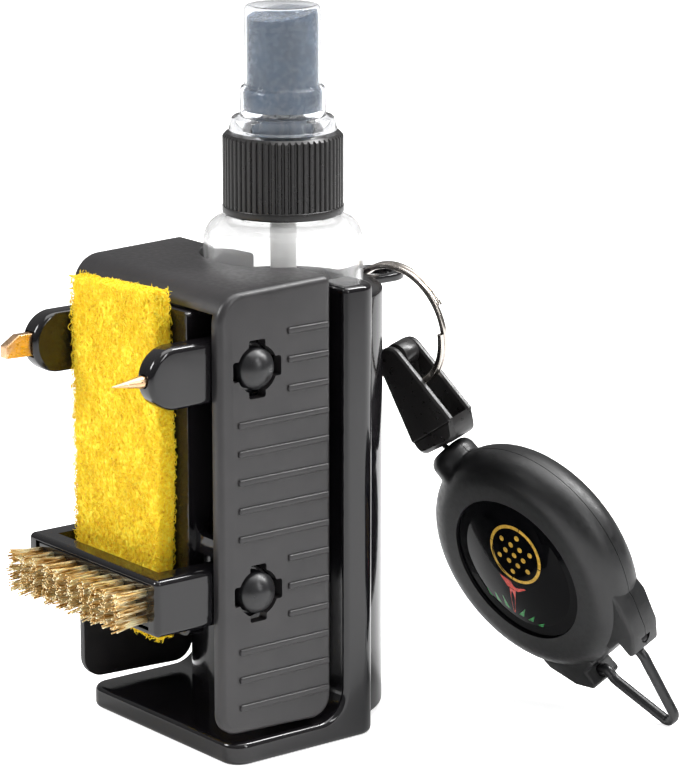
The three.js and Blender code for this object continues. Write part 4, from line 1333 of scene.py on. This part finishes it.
def build_cord():
    """The cord runs between its stop in the fork and the spool."""
    low, high = 19.4, REEL_DROP + 4.4
    rings, sides = 160, 12
    verts = []
    for i in range(rings + 1):
        z = low + (high - low) * i / rings
        for k in range(sides):
            angle = 2 * math.pi * k / sides
            radius = CORD_RADIUS * (1 - 0.10 * (0.5 + 0.5 * math.cos(3 * (angle + z * 2.2))))
            verts.append((radius * math.cos(angle), radius * math.sin(angle), z))
    return new_object("pull_cord_fine", verts, tube_faces(sides, rings + 1))


def hang_cord():
    cord = build_cord()
    dress(cord, CORD, REEL)
    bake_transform(cord)
    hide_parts("pull_cord")


hang_cord()

# ---------------------------------------------------------------- CAD nodes that stay

KEPT = {
    "panel_screw_upper": STEEL, "panel_screw_lower": STEEL, "neck_gasket": RUBBER, "pump_stem": MILKY,
    "check_ball": STEEL, "cord_spool": MILKY, "cord_winding": CORD, "main_spring": STEEL, "reel_axle": STEEL,
    "pump_spring": STEEL,
}
for node, skin in KEPT.items():
    mesh = frame["nodes"][node].data
    mesh.materials.clear()
    mesh.materials.append(skin)

# ---------------------------------------------------------------- stage, light and camera


def seen_directly(tree):
    """1 for rays from the camera or through clear plastic, 0 for reflections and soft light."""
    path = tree.nodes.new("ShaderNodeLightPath").outputs
    inputs = {0: path["Is Camera Ray"], 1: path["Is Transmission Ray"]}
    return add_node(tree, "ShaderNodeMath", inputs, operation="MAXIMUM").outputs[0]


def build_floor():
    bpy.ops.mesh.primitive_plane_add(size=6, location=(0, 0, 0))
    floor = bpy.context.object
    floor.name = "floor"
    skin = plain("pale_floor", (0.92, 0.92, 0.92), 0.7)
    tree = skin.node_tree
    lift = add_node(tree, "ShaderNodeMath", {0: seen_directly(tree), 1: FLOOR_LIFT}, operation="MULTIPLY")
    give(skin, "Emission Color", (1, 1, 1, 1))
    give(skin, "Emission Strength", lift.outputs[0])
    floor.data.materials.append(skin)


def area_light(name, place, target, size, power):
    data = bpy.data.lights.new(name, "AREA")
    data.shape = "RECTANGLE"
    data.size, data.size_y = size
    data.energy = power
    lamp = linked(name, data)
    lamp.location = place
    lamp.rotation_euler = (Vector(target) - Vector(place)).to_track_quat("-Z", "Y").to_euler()


def build_world():
    """White behind the object; in reflections a dim room that is brighter overhead."""
    world = bpy.data.worlds.new("studio")
    bpy.context.scene.world = world
    world.use_nodes = True
    tree = world.node_tree
    direction = tree.nodes.new("ShaderNodeTexCoord").outputs["Generated"]
    split = add_node(tree, "ShaderNodeSeparateXYZ", {"Vector": direction})
    room = spread(tree, split.outputs["Z"], ROOM_DIM, ROOM_BRIGHT, 0, 1)
    strength = mixed(tree, "FLOAT", seen_directly(tree), room, BACKDROP)
    put(tree, tree.nodes["Background"], "Strength", strength)
    put(tree, tree.nodes["Background"], "Color", (1, 1, 1, 1))


ROOM_DIM = 0.16
ROOM_BRIGHT = 0.5
BACKDROP = 1.05
FLOOR_LIFT = 0.75
TARGET = HOME @ Vector((36.71, 20, 77.36))
DISTANCE = 0.689
AZIMUTH = 51.84
ELEVATION = 13.79
FOCAL_LENGTH = 167.86


def build_camera():
    azimuth, elevation = math.radians(AZIMUTH), math.radians(ELEVATION)
    towards = Vector((math.sin(azimuth) * math.cos(elevation), -math.cos(azimuth) * math.cos(elevation),
                      math.sin(elevation)))
    data = bpy.data.cameras.new("camera")
    data.lens = FOCAL_LENGTH
    data.sensor_fit = "VERTICAL"
    data.sensor_height = 36
    data.clip_start = 0.01
    camera = linked("camera", data)
    camera.location = TARGET + towards * DISTANCE
    camera.rotation_euler = (-towards).to_track_quat("-Z", "Y").to_euler()
    bpy.context.scene.camera = camera


build_floor()
area_light("overhead", (0.05, 0.15, 0.8), (0, 0, 0.05), (0.7, 0.7), 6)
area_light("key", (-0.35, -0.75, 0.65), (0, 0, 0.07), (0.35, 0.35), 7)
area_light("right_strip", (0.85, 0.15, 0.55), (0.02, 0.02, 0.07), (0.12, 0.6), 2.5)
area_light("edge_strip", (0.22, 0.45, 0.60), (0.02, 0.0, 0.06), (0.10, 0.45), 5)
build_world()
build_camera()
bpy.context.scene.view_settings.view_transform = "Standard"
